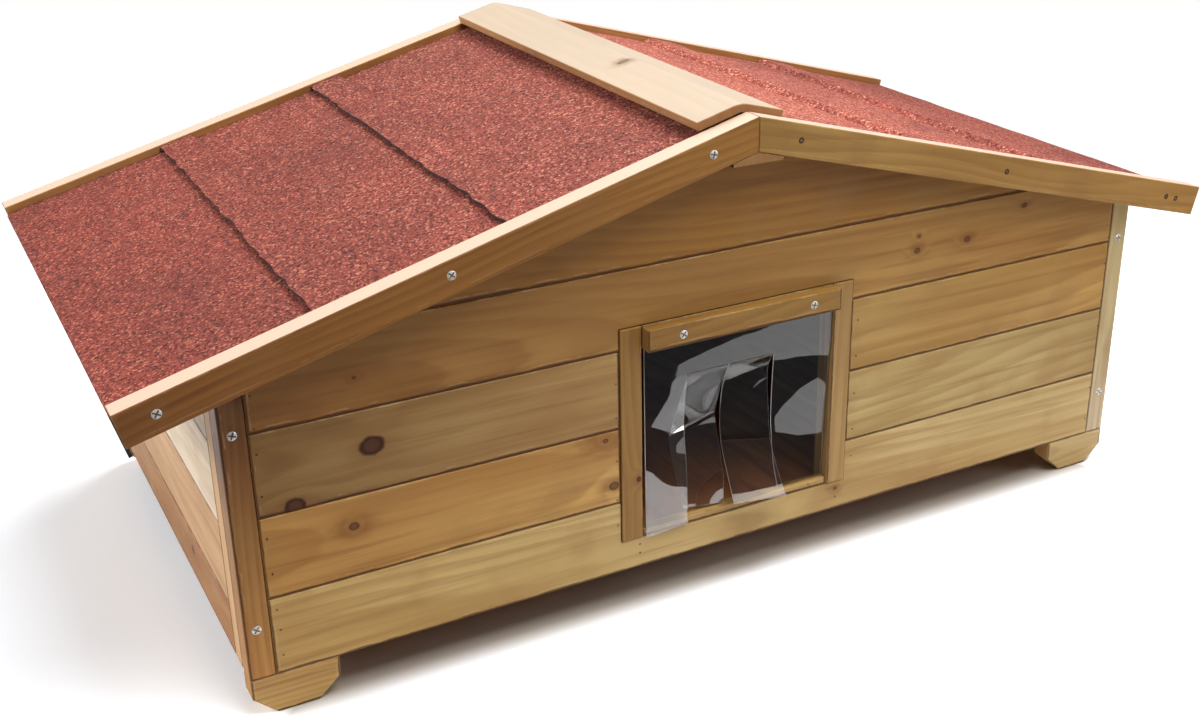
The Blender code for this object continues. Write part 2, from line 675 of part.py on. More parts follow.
def build_ridge(roof):
    """Ridge beam with its tongue up between the decks, and the cap that covers the joint."""
    half = BEAM_WIDTH / 2
    tongue = BEAM_TONGUE_WIDTH / 2
    shoulder = DECK_BOTTOM_DEPTH + CONTACT_GAP
    tongue_top = min(cap_underside(tongue), cap_underside(-tongue)) - CONTACT_GAP
    outline = [
        (-half, BEAM_BOTTOM), (half, BEAM_BOTTOM), (half, roof_height(half, shoulder)),
        (tongue, roof_height(tongue, shoulder)), (tongue, tongue_top), (-tongue, tongue_top),
        (-tongue, roof_height(tongue, shoulder)), (-half, roof_height(half, shoulder)),
    ]
    end = HALF_DEPTH + ROOF_CLEARANCE + BARGEBOARD_THICKNESS
    beam = front_prism("ridge_beam", outline, -end, end, RAW_FIR, roof, eased=False)
    for face in (FRONT, REAR):
        build_beam_cut(beam, face, end, roof)
    build_cap(roof)


def build_beam_cut(beam, face, end, roof):
    """Take the ridge beam's end down to what shows under the bargeboards."""
    wide = BEAM_WIDTH / 2 + CUT_OVERRUN
    depth = BARGEBOARD_HEIGHT + CONTACT_GAP
    high = RIDGE_HEIGHT + CUT_OVERRUN
    outline = [(-wide, roof_height(wide, depth)), (0, roof_height(0, depth)),
               (wide, roof_height(wide, depth)),
               (wide, high), (-wide, high)]
    start = face * (HALF_DEPTH + ROOF_CLEARANCE - CONTACT_GAP)
    tool = front_prism(f"beam_{FACE_NAMES[face]}_tool", outline, start, face * (end + CUT_OVERRUN),
                       RAW_FIR, roof, eased=False)
    add_boolean(beam, tool, "DIFFERENCE")


def build_cap(roof):
    """Ridge cap: two arms at the roof's pitch with a rounded crown."""
    left = CAP_OFFSET - CAP_WIDTH / 2
    right = CAP_OFFSET + CAP_WIDTH / 2
    lean_x = CAP_THICKNESS * math.sin(PITCH)
    lean_z = CAP_THICKNESS * math.cos(PITCH)
    crown_centre = CAP_REFERENCE + (CAP_THICKNESS - CAP_CROWN_RADIUS) / math.cos(PITCH)
    outline = [(left, cap_underside(left)), (CAP_OFFSET, cap_underside(CAP_OFFSET)),
               (right, cap_underside(right)),
               (right + lean_x, cap_underside(right) + lean_z)]
    for step in range(ARC_STEPS + 1):
        turn = math.pi / 2 - PITCH + 2 * PITCH * step / ARC_STEPS
        outline.append((CAP_OFFSET + CAP_CROWN_RADIUS * math.cos(turn),
                        crown_centre + CAP_CROWN_RADIUS * math.sin(turn)))
    outline.append((left - lean_x, cap_underside(left) + lean_z))
    reach = HALF_DEPTH + ROOF_CLEARANCE - CONTACT_GAP
    front_prism("ridge_cap", outline, -reach, reach, CAP_FIR, roof)


def build_roof():
    """Roof that lifts straight up off the walls, carried by one empty."""
    roof = bpy.data.objects.new("roof_lift", None)
    bpy.context.collection.objects.link(roof)
    for side in (LEFT, RIGHT):
        build_deck(side, roof)
        build_felt(side, roof)
        for face in (FRONT, REAR):
            build_bargeboard(side, face, roof)
    build_ridge(roof)


def main():
    """Build the whole house."""
    clear_scene()
    build_front_wall()
    build_door_frame()
    build_curtain()
    for side in (LEFT, RIGHT):
        build_side_wall(side)
    build_rear_wall()
    build_feet()
    build_floor()
    build_roof()


main()
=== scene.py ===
"""Looks of a low outdoor cat house: stained fir boards, red mineral felt and a clear slit curtain.

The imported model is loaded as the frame.  The boards keep its nodes and get their own grain, and the felt,
the curtain, the screws and the nails are modelled here.  Sizes are in metres and +Z is up.
"""

import logging
import math
import random
from collections.abc import Callable, Sequence
from dataclasses import dataclass, replace
from enum import Enum
from functools import reduce
from types import SimpleNamespace
from typing import Any

import bmesh
import bpy
from mathutils import Matrix, Vector


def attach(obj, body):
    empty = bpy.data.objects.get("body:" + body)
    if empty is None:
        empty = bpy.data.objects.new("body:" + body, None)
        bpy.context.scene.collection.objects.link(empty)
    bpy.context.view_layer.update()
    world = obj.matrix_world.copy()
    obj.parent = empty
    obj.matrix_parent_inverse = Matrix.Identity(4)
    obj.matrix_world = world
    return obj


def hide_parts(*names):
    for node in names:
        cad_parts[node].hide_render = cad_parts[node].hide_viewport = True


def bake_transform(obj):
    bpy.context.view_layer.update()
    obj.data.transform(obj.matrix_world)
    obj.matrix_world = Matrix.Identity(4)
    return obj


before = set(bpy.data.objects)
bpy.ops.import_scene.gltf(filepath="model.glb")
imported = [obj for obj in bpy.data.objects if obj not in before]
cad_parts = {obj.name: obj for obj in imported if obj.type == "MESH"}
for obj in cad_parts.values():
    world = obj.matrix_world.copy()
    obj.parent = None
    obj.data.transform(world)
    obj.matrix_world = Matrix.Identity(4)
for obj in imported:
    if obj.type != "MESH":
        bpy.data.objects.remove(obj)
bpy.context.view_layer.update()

log = logging.getLogger("cat_house")

PITCH = math.radians(15.06)
RIDGE_HEIGHT = 0.4152
FRONT_FACE = -0.23925
REAR_FACE = 0.23925
BARGEBOARD_FACE = 0.25855
DOOR_FRAME_DEPTH = 0.0016
CLAMP_DEPTH = 0.0105

Colour = tuple[float, float, float]
Point = tuple[float, float, float]


def paint(red: int, green: int, blue: int) -> Colour:
    """Linear colour of a paint chip that is given in 0 to 255."""
    shares = (red / 255, green / 255, blue / 255)
    return tuple(share / 12.92 if share <= 0.04045 else ((share + 0.055) / 1.055) ** 2.4 for share in shares)


def tinted(colour: Colour, *shares: float) -> Colour:
    """Colour times one share, or times a share for each of red, green and blue."""
    return tuple(level * share for level, share in zip(colour, shares * 3))


# Modelling bench


def dress(item: bpy.types.Object, *materials: bpy.types.Material) -> None:
    """Give an object its materials in slot order.

    Args:
        item: The object.
        materials: Its materials.
    """
    item.data.materials.clear()
    for material in materials:
        item.data.materials.append(material)


class Piece:
    """An object on the modelling bench, shaped with Blender's own operators."""

    def __init__(self, name: str) -> None:
        """Take the object that an operator has just left active, and name it."""
        self.item = bpy.context.object
        self.item.name = self.item.data.name = name

    @staticmethod
    def clear_selection() -> None:
        """Leave edit mode and select nothing."""
        if bpy.context.object is not None and bpy.context.object.mode != "OBJECT":
            bpy.ops.object.mode_set(mode="OBJECT")
        bpy.ops.object.select_all(action="DESELECT")

    @classmethod
    def add(cls, primitive: Callable[..., Any], name: str, **sizes: Any) -> "Piece":
        """Add a primitive with nothing else selected.

        Args:
            primitive: Operator that adds it.
            name: Name of the piece.
            sizes: Values of the operator.

        Returns:
            The piece.
        """
        cls.clear_selection()
        primitive(**sizes)
        return cls(name)

    @classmethod
    def grid(cls, name: str, columns: int, rows: int, size: float = 1.0) -> "Piece":
        """Add a flat grid."""
        return cls.add(bpy.ops.mesh.primitive_grid_add, name, x_subdivisions=columns, y_subdivisions=rows,
                       size=size)

    @classmethod
    def join(cls, pieces: Sequence["Piece"], name: str) -> "Piece":
        """Join two or more pieces and name what they make.

        Args:
            pieces: The pieces.
            name: Name of the joined piece.

        Returns:
            The joined piece.
        """
        pieces[0].take(*pieces[1:])
        bpy.ops.object.join()
        return cls(name)

    def copy(self, name: str) -> "Piece":
        """Duplicate the piece with a mesh of its own.

        Args:
            name: Name of the duplicate.

        Returns:
            The duplicate.
        """
        self.take()
        bpy.ops.object.duplicate(linked=False)
        return Piece(name)

    def take(self, *others: "Piece") -> None:
        """Select this piece, with any others, and make it the active one.

        Args:
            others: The other pieces.
        """
        self.clear_selection()
        for piece in (self, *others):
            piece.item.select_set(True)
        bpy.context.view_layer.objects.active = self.item

    def remove(self) -> None:
        """Clear the piece off the bench."""
        bpy.data.objects.remove(self.item)

    def edit(self) -> None:
        """Open the piece in edit mode with nothing selected."""
        self.take()
        bpy.ops.object.mode_set(mode="EDIT")
        bpy.ops.mesh.select_mode(type="VERT")
        bpy.ops.mesh.select_all(action="DESELECT")

    @staticmethod
    def close() -> None:
        """Leave edit mode."""
        bpy.ops.object.mode_set(mode="OBJECT")

    def _pick(self, kind: str, wanted: Callable[[Any], bool]) -> None:
        """Select the elements of the open mesh that pass a test.

        Args:
            kind: Blender's word for the kind of element.
            wanted: Test of an element.
        """
        mesh = bmesh.from_edit_mesh(self.item.data)
        for element in getattr(mesh, kind):
            element.select = wanted(element)
        mesh.select_flush_mode()
        bmesh.update_edit_mesh(self.item.data)

    def pick_corners(self, wanted: Callable[[Vector], bool]) -> None:
        """Select the corners whose place passes a test."""
        self._pick("verts", lambda corner: wanted(corner.co))

    def pick_faces(self, wanted: Callable[[Vector, Vector], bool]) -> None:
        """Select the faces whose middle and normal pass a test."""
        bpy.ops.mesh.select_mode(type="FACE")
        self._pick("faces", lambda face: wanted(face.calc_center_median(), face.normal))

    @staticmethod
    def shift(by: Sequence[float]) -> None:
        """Move what is selected."""
        bpy.ops.transform.translate(value=tuple(by))

    def place_corners(self, targets: Sequence[Vector]) -> None:
        """Move the corners one by one, in their order, to their new places.

        Args:
            targets: New place of each corner.
        """
        ways = [target - corner.co for corner, target in zip(self.item.data.vertices, targets)]
        self.edit()
        for index, way in enumerate(ways):
            if way.length > 1e-6:
                self._pick("verts", lambda corner: corner.index == index)
                self.shift(way)
        self.close()

    def settle(self, place: Sequence[float] = (0.0, 0.0, 0.0), turn: Sequence[float] = (0.0, 0.0, 0.0),
               scale: Sequence[float] = (1.0, 1.0, 1.0)) -> None:
        """Scale, turn and move the piece, and put that into its mesh.

        Args:
            place: Where it goes.
            turn: Turn about each axis.
            scale: Scale along each axis.
        """
        self.item.location, self.item.rotation_euler, self.item.scale = place, turn, scale
        self.take()
        bpy.ops.object.transform_apply(location=True, rotation=True, scale=True)

    def modify(self, kind: str, **settings: Any) -> None:
        """Add a modifier with its settings and apply it.

        Args:
            kind: Blender's name of the modifier.
            settings: Values of the modifier.
        """
        self.take()
        step = self.item.modifiers.new(kind.lower(), kind)
        for name, value in settings.items():
            setattr(step, name, value)
        bpy.ops.object.modifier_apply(modifier=step.name)

    def smooth(self, degrees: float) -> None:
        """Shade the piece smooth up to an angle."""
        self.take()
        bpy.ops.object.shade_smooth_by_angle(angle=math.radians(degrees), keep_sharp_edges=True)


# Node bench


class Wire:
    """A number in a node tree, on which arithmetic lays Math nodes."""

    def __init__(self, bench: "NodeBench", socket: bpy.types.NodeSocket) -> None:
        """Keep the socket and the bench that its node is on."""
        self.bench = bench
        self.socket = socket

    def lay(self, way: str, *others: Any) -> "Wire":
        """Lay a Math node on this number and others."""
        return self.bench.wire(self.bench.fill("ShaderNodeMath", (self, *others), operation=way))

    def __add__(self, other: Any) -> "Wire":
        """Sum of this and another."""
        return self.lay("ADD", other)

    def __sub__(self, other: Any) -> "Wire":
        """This less another."""
        return self.lay("SUBTRACT", other)

    def __mul__(self, other: Any) -> "Wire":
        """This times another."""
        return self.lay("MULTIPLY", other)

    def __truediv__(self, other: Any) -> "Wire":
        """This over another."""
        return self.lay("DIVIDE", other)

    def least(self, other: Any) -> "Wire":
        """Smaller of this and another."""
        return self.lay("MINIMUM", other)

    def most(self, other: Any) -> "Wire":
        """Larger of this and another."""
        return self.lay("MAXIMUM", other)

    def reach(self, low: float, high: float, start: float = 0.0, end: float = 1.0,
              soft: bool = True) -> "Wire":
        """Map a range on to another, clamped at both ends.

        Args:
            low: Value that gives the start.
            high: Value that gives the end.
            start: First end of the new range.
            end: Second end of the new range.
            soft: Whether the way between the ends is a soft curve.

        Returns:
            The mapped value.
        """
        curve = "SMOOTHSTEP" if soft else "LINEAR"
        values = (self, low, high, start, end)
        return self.bench.wire(self.bench.fill("ShaderNodeMapRange", values, interpolation_type=curve))

    def mix(self, first: Any, second: Any) -> "Arrow":
        """Blend two colours by this share of the second.

        Args:
            first: Colour at a share of nothing.
            second: Colour at a share of one.

        Returns:
            The blended colour.
        """
        node = self.bench.add("ShaderNodeMix", data_type="RGBA")
        for socket, value in zip((node.inputs[0], node.inputs[6], node.inputs[7]), (self, first, second)):
            self.bench.feed(socket, value)
        return self.bench.wire(node, 2)

    def bump(self, strength: float, distance: float) -> "Wire":
        """Normal that this height raises."""
        node = self.bench.add("ShaderNodeBump")
        return self.bench.feed_named(node, height=self, strength=strength, distance=distance)


class Arrow(Wire):
    """A vector or colour in a node tree, on which arithmetic lays Vector Math nodes."""

    def lay(self, way: str, *others: Any) -> Wire:
        """Lay a Vector Math node on this vector and others."""
        node = self.bench.fill("ShaderNodeVectorMath", (self, *others), operation=way)
        return self.bench.wire(node, "Value" if way == "LENGTH" else "Vector")

    def parts(self) -> list[Wire]:
        """Its three numbers."""
        node = self.bench.fill("ShaderNodeSeparateXYZ", (self,))
        return [Wire(self.bench, socket) for socket in node.outputs]

    def noise(self, scale: Any, detail: float = 2.0, roughness: float = 0.5) -> Wire:
        """Noise value at this place."""
        node = self.bench.add("ShaderNodeTexNoise")
        return self.bench.feed_named(node, vector=self, scale=scale, detail=detail, roughness=roughness)

    def cells(self, scale: float) -> tuple[Wire, list[Wire]]:
        """Distance to the middle of the cell at this place, and the cell's three random numbers."""
        node = self.bench.add("ShaderNodeTexVoronoi")
        return self.bench.feed_named(node, vector=self, scale=scale), self.bench.wire(node, "Color").parts()

    def turned(self, turn: Matrix, shift: Vector) -> Wire:
        """Turn the vector and then shift it."""
        node = self.bench.add("ShaderNodeMapping", vector_type="POINT")
        return self.bench.feed_named(node, vector=self, rotation=tuple(turn.to_euler("XYZ")),
                                     location=tuple(shift))


class NodeBench:
    """Lays shader nodes in one tree and joins them."""

    def __init__(self, tree: bpy.types.NodeTree) -> None:
        """Keep the tree that the nodes go into."""
        self.tree = tree

    def add(self, kind: str, **settings: Any) -> bpy.types.Node:
        """Add a node with its settings.

        Args:
            kind: Blender's name of the node.
            settings: Values of the node's own settings.

        Returns:
            The node.
        """
        node = self.tree.nodes.new(kind)
        for name, value in settings.items():
            setattr(node, name, value)
        return node

    def feed(self, socket: bpy.types.NodeSocket, value: Any) -> None:
        """Link a socket to a wire, or set its value.

        Args:
            socket: Input of a node.
            value: Wire, number, vector or colour.
        """
        if isinstance(value, Wire):
            self.tree.links.new(value.socket, socket)
        else:
            socket.default_value = (*value, 1.0) if socket.type == "RGBA" else value

    def fill(self, kind: str, values: Sequence[Any], **settings: Any) -> bpy.types.Node:
        """Add a node and feed its inputs in their order.

        Args:
            kind: Blender's name of the node.
            values: What its first inputs get.
            settings: Values of the node's own settings.

        Returns:
            The node.
        """
        node = self.add(kind, **settings)
        for socket, value in zip(node.inputs, values):
            self.feed(socket, value)
        return node

    def feed_named(self, node: bpy.types.Node, **values: Any) -> Wire | None:
        """Feed a node's inputs by name.

        Args:
            node: The node.
            values: What each input gets, under its name in small letters with underscores.

        Returns:
            Its first output, if it has any.
        """
        sockets = {plain(socket.name): socket for socket in node.inputs}
        for name, value in values.items():
            self.feed(sockets[name], value)
        return self.wire(node) if node.outputs else None

    def wire(self, node: bpy.types.Node, output: int | str = 0) -> Wire:
        """Wire from a node's output, an Arrow where it carries a vector or a colour."""
        socket = node.outputs[output]
        return (Arrow if socket.type in ("VECTOR", "RGBA") else Wire)(self, socket)

    def wires(self, node: bpy.types.Node) -> SimpleNamespace:
        """Wires from all of a node's named outputs."""
        names = [socket.name for socket in node.outputs if socket.name]
        return SimpleNamespace(**{plain(name): self.wire(node, name) for name in names})

    def group(self, tree: bpy.types.NodeTree, **values: Any) -> SimpleNamespace:
        """Place a node group, feed its inputs by name and give its outputs.

        Args:
            tree: The group.
            values: What each input gets.

        Returns:
            Wires from its outputs.
        """
        node = self.add("ShaderNodeGroup", node_tree=tree)
        self.feed_named(node, **values)
        return self.wires(node)


def plain(name: str) -> str:
    """Name of a socket in small letters with underscores."""
    return name.lower().replace(" ", "_")


def titled(name: str) -> str:
    """Name of a socket as Blender shows it."""
    return name.replace("_", " ").title()


class GroupBench(NodeBench):
    """Node bench on a new shader node group with named inputs and outputs."""

    def __init__(self, name: str, **inputs: float | None) -> None:
        """Make the group and its inputs.

        Args:
            name: Name of the group.
            inputs: Default of each number, and None for each vector.
        """
        super().__init__(bpy.data.node_groups.new(name, "ShaderNodeTree"))
        for title, default in inputs.items():
            kind = "NodeSocketVector" if default is None else "NodeSocketFloat"
            socket = self.tree.interface.new_socket(titled(title), in_out="INPUT", socket_type=kind)
            if default is not None:
                socket.default_value = default
        self.given = self.wires(self.add("NodeGroupInput"))

    def give(self, **masks: Wire) -> bpy.types.NodeTree:
        """Put masks out under their names and finish the group.

        Args:
            masks: The masks.

        Returns:
            The group.
        """
        for title in masks:
            self.tree.interface.new_socket(titled(title), in_out="OUTPUT", socket_type="NodeSocketFloat")
        self.feed_named(self.add("NodeGroupOutput"), **masks)
        return self.tree


class Finish(NodeBench):
    """Node bench on a new material, with the place and the facing that its patterns read."""

    def __init__(self, name: str) -> None:
        """Make the material.

        Args:
            name: Name of the material.
        """
        self.material = bpy.data.materials.new(name)
        self.material.use_nodes = True
        super().__init__(self.material.node_tree)
        self.shader = self.tree.nodes["Principled BSDF"]
        spot = self.wires(self.add("ShaderNodeTexCoord"))
        self.place, self.facing = spot.object, spot.normal

    def done(self, **values: Any) -> bpy.types.Material:
        """Feed the shader's inputs by name and give the material."""
        self.feed_named(self.shader, **values)
        return self.material


class Effects:
    """Surface effects that several finishes share, each one node group."""

    def __init__(self) -> None:
        """Build the groups once."""
        self.figure = self._figure()
        self.knot = self._knot()
        self.wear_and_light = self._wear_and_light()
        self.grime = self._grime()

    @staticmethod
    def _figure() -> bpy.types.NodeTree:
        """Growth rings, streaks and fibre of sawn fir, in a board's own frame with X along the grain.

        Returns:
            The group.
        """
        bench = GroupBench("sawn_fir_figure", place=None, seed=0.0, pith_across=0.0, pith_depth=0.05,
                           ring_width=0.004, taper=0.02, swirl=0.0)
        given = bench.given
        shuffle = bench.wire(bench.fill("ShaderNodeCombineXYZ", [given.seed] * 3))
        place = given.place + shuffle * (7.31, 3.17, 5.93)
        along, across, depth = given.place.parts()
        side, deep = across - given.pith_across, depth - given.pith_depth
        radius = (side * side + deep * deep).lay("SQRT") + along * given.taper
        radius += ((place * (1.0, 3.0, 3.0)).noise(2.6, 1.0) - 0.5) * 0.030
        radius += ((place * (1.0, 10.0, 10.0)).noise(7.0) - 0.5) * 0.0030
        phase = ((radius + given.swirl) / given.ring_width).lay("FRACT")
        return bench.give(
            late_wood=phase.reach(0.05, 0.85) * phase.reach(0.85, 1.0, 1.0, 0.0),
            streak=(place * (1.0, 30.0, 30.0)).noise(5.0, 4.0, 0.62),
            patch=(place * (1.0, 3.5, 3.5)).noise(3.4),
            tint=((place + (11.0, 4.0, 8.0)) * (1.0, 4.0, 4.0)).noise(2.6),
            fibre=(place * (1.0, 26.0, 26.0)).noise(60.0, 3.0, 0.65),
        )

    @staticmethod
    def _knot() -> bpy.types.NodeTree:
        """One knot in a board's own frame: dark ring, core, stained halo and the swirl of rings round it.

        Returns:
            The group.
        """
        bench = GroupBench("fir_knot", place=None, middle=None, radius=0.006, halo_reach=2.5)
        given = bench.given
        off = given.place - given.middle
        flat = (off * (0.82, 1.0, 0.35)).lay("LENGTH")
        share = flat / given.radius + (given.place.noise(190.0, 3.0, 0.6) - 0.5) * 0.35
        core = share.reach(0.72, 1.12, 1.0, 0.0)
        cloudy = (given.place * (1.0, 3.0, 3.0)).noise(60.0, 3.0)
        halo_share = (off * (0.55, 1.0, 0.35)).lay("LENGTH") / (given.radius * given.halo_reach)
        halo = (halo_share + (cloudy - 0.5) * 0.9).reach(0.2, 1.1, 1.0, 0.0)
        swirl_share = flat / (given.radius * 3.2)
        swirl = (swirl_share * swirl_share * -1.0).lay("EXPONENT") * 0.007
        return bench.give(core=core, ring=core * share.reach(0.42, 0.82), halo=halo, swirl=swirl)

    @staticmethod
    def _wear_and_light() -> bpy.types.NodeTree:
        """Scuffed edges with painted highlights on the arrises, painted shade in the seams, sawn ends and
        upward faces of a board that is about its own frame's middle.

        Returns:
            The group.
        """
        bench = GroupBench("worn_edges", place=None, facing=None, half_size=None, width=0.001)
        given = bench.given
        x, y, z = (given.half_size - given.place.lay("ABSOLUTE")).lay("ABSOLUTE").parts()
        edge = x + y + z - x.least(y).least(z) - x.most(y).most(z)
        broken = given.place.noise(55.0, 3.0, 0.6)
        # Scuffs on the edges, stronger on the upper arrises: partly real scuffing and partly painted
        # highlight.
        upper = given.place.parts()[1].reach(0.0, 0.002, 0.25, 1.0)
        near = (edge / given.width).reach(0.4, 1.6, 1.0, 0.0)
        rubbed = near * upper * broken.reach(0.44, 0.66)
        endwise, _, outward = given.facing.lay("ABSOLUTE").parts()
        face = outward.reach(0.6, 0.8)
        # A pale broken stripe just above a board's lower edge and near its ends: painted highlight on the
        # arris.
        foot = (given.place + given.half_size).parts()[1]
        share = (foot * 0.8).least(x) / (given.width * broken.reach(0.3, 0.7, 0.8, 1.25))
        stripe = share.reach(1.7, 2.1) * share.reach(2.2, 3.0, 1.0, 0.0)
        arris_highlight = stripe * face * broken.reach(0.46, 0.6, 0.0, 0.6)
        return bench.give(
            rubbed=rubbed.most(arris_highlight),
            sawn_end=endwise.reach(0.6, 0.8),
            # Faces that point up, which take the painted highlight.
            upward=given.facing.parts()[1].reach(0.7, 0.95),
            # Painted shade along each board's lower edge, where the seams are.
            seam_dirt=share.reach(0.9, 1.8, 1.0, 0.0) * face,
        )

    @staticmethod
    def _grime() -> bpy.types.NodeTree:
        """Faint dirt in loose blots, for any finish that stands outdoors.

        Returns:
            The group.
        """
        bench = GroupBench("outdoor_grime", place=None, scale=14.0, amount=0.3)
        given = bench.given
        return bench.give(blots=given.place.noise(given.scale, 4.0).reach(0.5, 0.72) * given.amount)

    def blots(self, bench: Finish, scale: float, amount: float) -> Wire:
        """Blots of dirt on a finish."""
        return bench.group(self.grime, place=bench.place, scale=scale, amount=amount).blots


# Wood


class GrainRun(Enum):
    """Way that a board's grain runs: along the board, then across its face."""

    ACROSS = ((1.0, 0.0, 0.0), (0.0, 0.0, 1.0))
    DEEP = ((0.0, 1.0, 0.0), (0.0, 0.0, 1.0))
    UPRIGHT = ((0.0, 0.0, 1.0), (1.0, 0.0, 0.0))
    UPRIGHT_SIDEWAYS = ((0.0, 0.0, 1.0), (0.0, 1.0, 0.0))
    RIGHT_SLOPE = ((math.cos(PITCH), 0.0, -math.sin(PITCH)), (math.sin(PITCH), 0.0, math.cos(PITCH)))
    LEFT_SLOPE = ((math.cos(PITCH), 0.0, math.sin(PITCH)), (-math.sin(PITCH), 0.0, math.cos(PITCH)))
    FLAT_DEEP = ((0.0, 1.0, 0.0), (1.0, 0.0, 0.0))

    def turn(self) -> Matrix:
        """Matrix from the house's frame to the board's own."""
        along, across = (Vector(axis) for axis in self.value)
        return Matrix((along, across, along.cross(across)))


@dataclass(frozen=True)
class Knot:
    """A knot at a place in the house's frame."""

    middle: Point
    radius: float
    halo: float = 2.5
    red: float = 0.6
    depth: float = 1.0


def knot(x: float, z: float, radius: float, halo: float = 2.5, red: float = 0.6) -> Knot:
    """Knot on the front face at a place in millimetres, where only the large ones are dark all through."""
    return Knot((x / 1000, FRONT_FACE, z / 1000), radius / 1000, halo, red, 1.0 if radius > 6 else 0.68)


@dataclass(frozen=True)
class FirStain:
    """A stain on sawn fir, with its painted highlights and the painted shade in its seams."""

    light: Colour
    dark: Colour
    late: Colour
    # Colour of scuffed edges and of the painted highlights on the arrises.
    rubbed: Colour
    roughness: float = 0.5
    figure: float = 0.3
    streak: float = 0.42
    olive: float = 0.3
    # How strongly the painted shade in the seams shows.
    seam: float = 0.88
    # How strongly the scuffed edges and painted arris highlights show.
    worn_and_highlit_share: float = 0.3
    end_tone: float = 1.0
    # Painted highlight: upward faces take a paler colour, as if lit from above.
    top_highlight: float = 0.0
    top_highlight_colour: Colour = (0.8, 0.62, 0.42)


HONEY = FirStain(paint(198, 156, 98), paint(176, 130, 74), paint(150, 98, 48), paint(222, 194, 146),
                 figure=0.38, streak=0.5)
PALE = FirStain(paint(222, 188, 146), paint(200, 160, 114), paint(176, 126, 78), paint(238, 218, 184),
                roughness=0.55)
BROWN = FirStain(paint(180, 132, 78), paint(158, 110, 60), paint(132, 82, 38), paint(226, 198, 156),
                 figure=0.36, streak=0.46, seam=0.0, worn_and_highlit_share=0.15, top_highlight=0.9,
                 top_highlight_colour=paint(220, 190, 168))
BARE = FirStain(paint(190, 146, 100), paint(168, 122, 78), paint(136, 90, 52), paint(240, 228, 206),
                roughness=0.6, figure=0.4, olive=0.1, seam=0.0, end_tone=0.9, top_highlight=0.76,
                top_highlight_colour=paint(193, 180, 161))
ROUGH = FirStain(paint(196, 158, 112), paint(160, 118, 74), paint(138, 92, 52), paint(214, 184, 140),
                 roughness=0.72)
FLOORING = FirStain(paint(220, 146, 96), paint(196, 122, 78), paint(120, 66, 38), paint(190, 136, 96),
                    roughness=0.45, seam=0.0)


@dataclass(frozen=True)
class BoardLook:
    """How one board was cut and stained, and the light and shade painted along it."""

    run: GrainRun
    stain: FirStain
    seed: int
    tone: float = 1.0
    warmth: float = 0.0
    pith_across: float = 0.0
    pith_depth: float = 0.06
    ring_width: float = 0.0055
    taper: float = 0.03
    knots: tuple[Knot, ...] = ()
    # Painted light and shade: shares of each colour at the board's two ends, partly its stain's tone and
    # partly light falling on it.
    start_painted_light: Colour = (1.0, 1.0, 1.0)
    end_painted_light: Colour = (1.0, 1.0, 1.0)


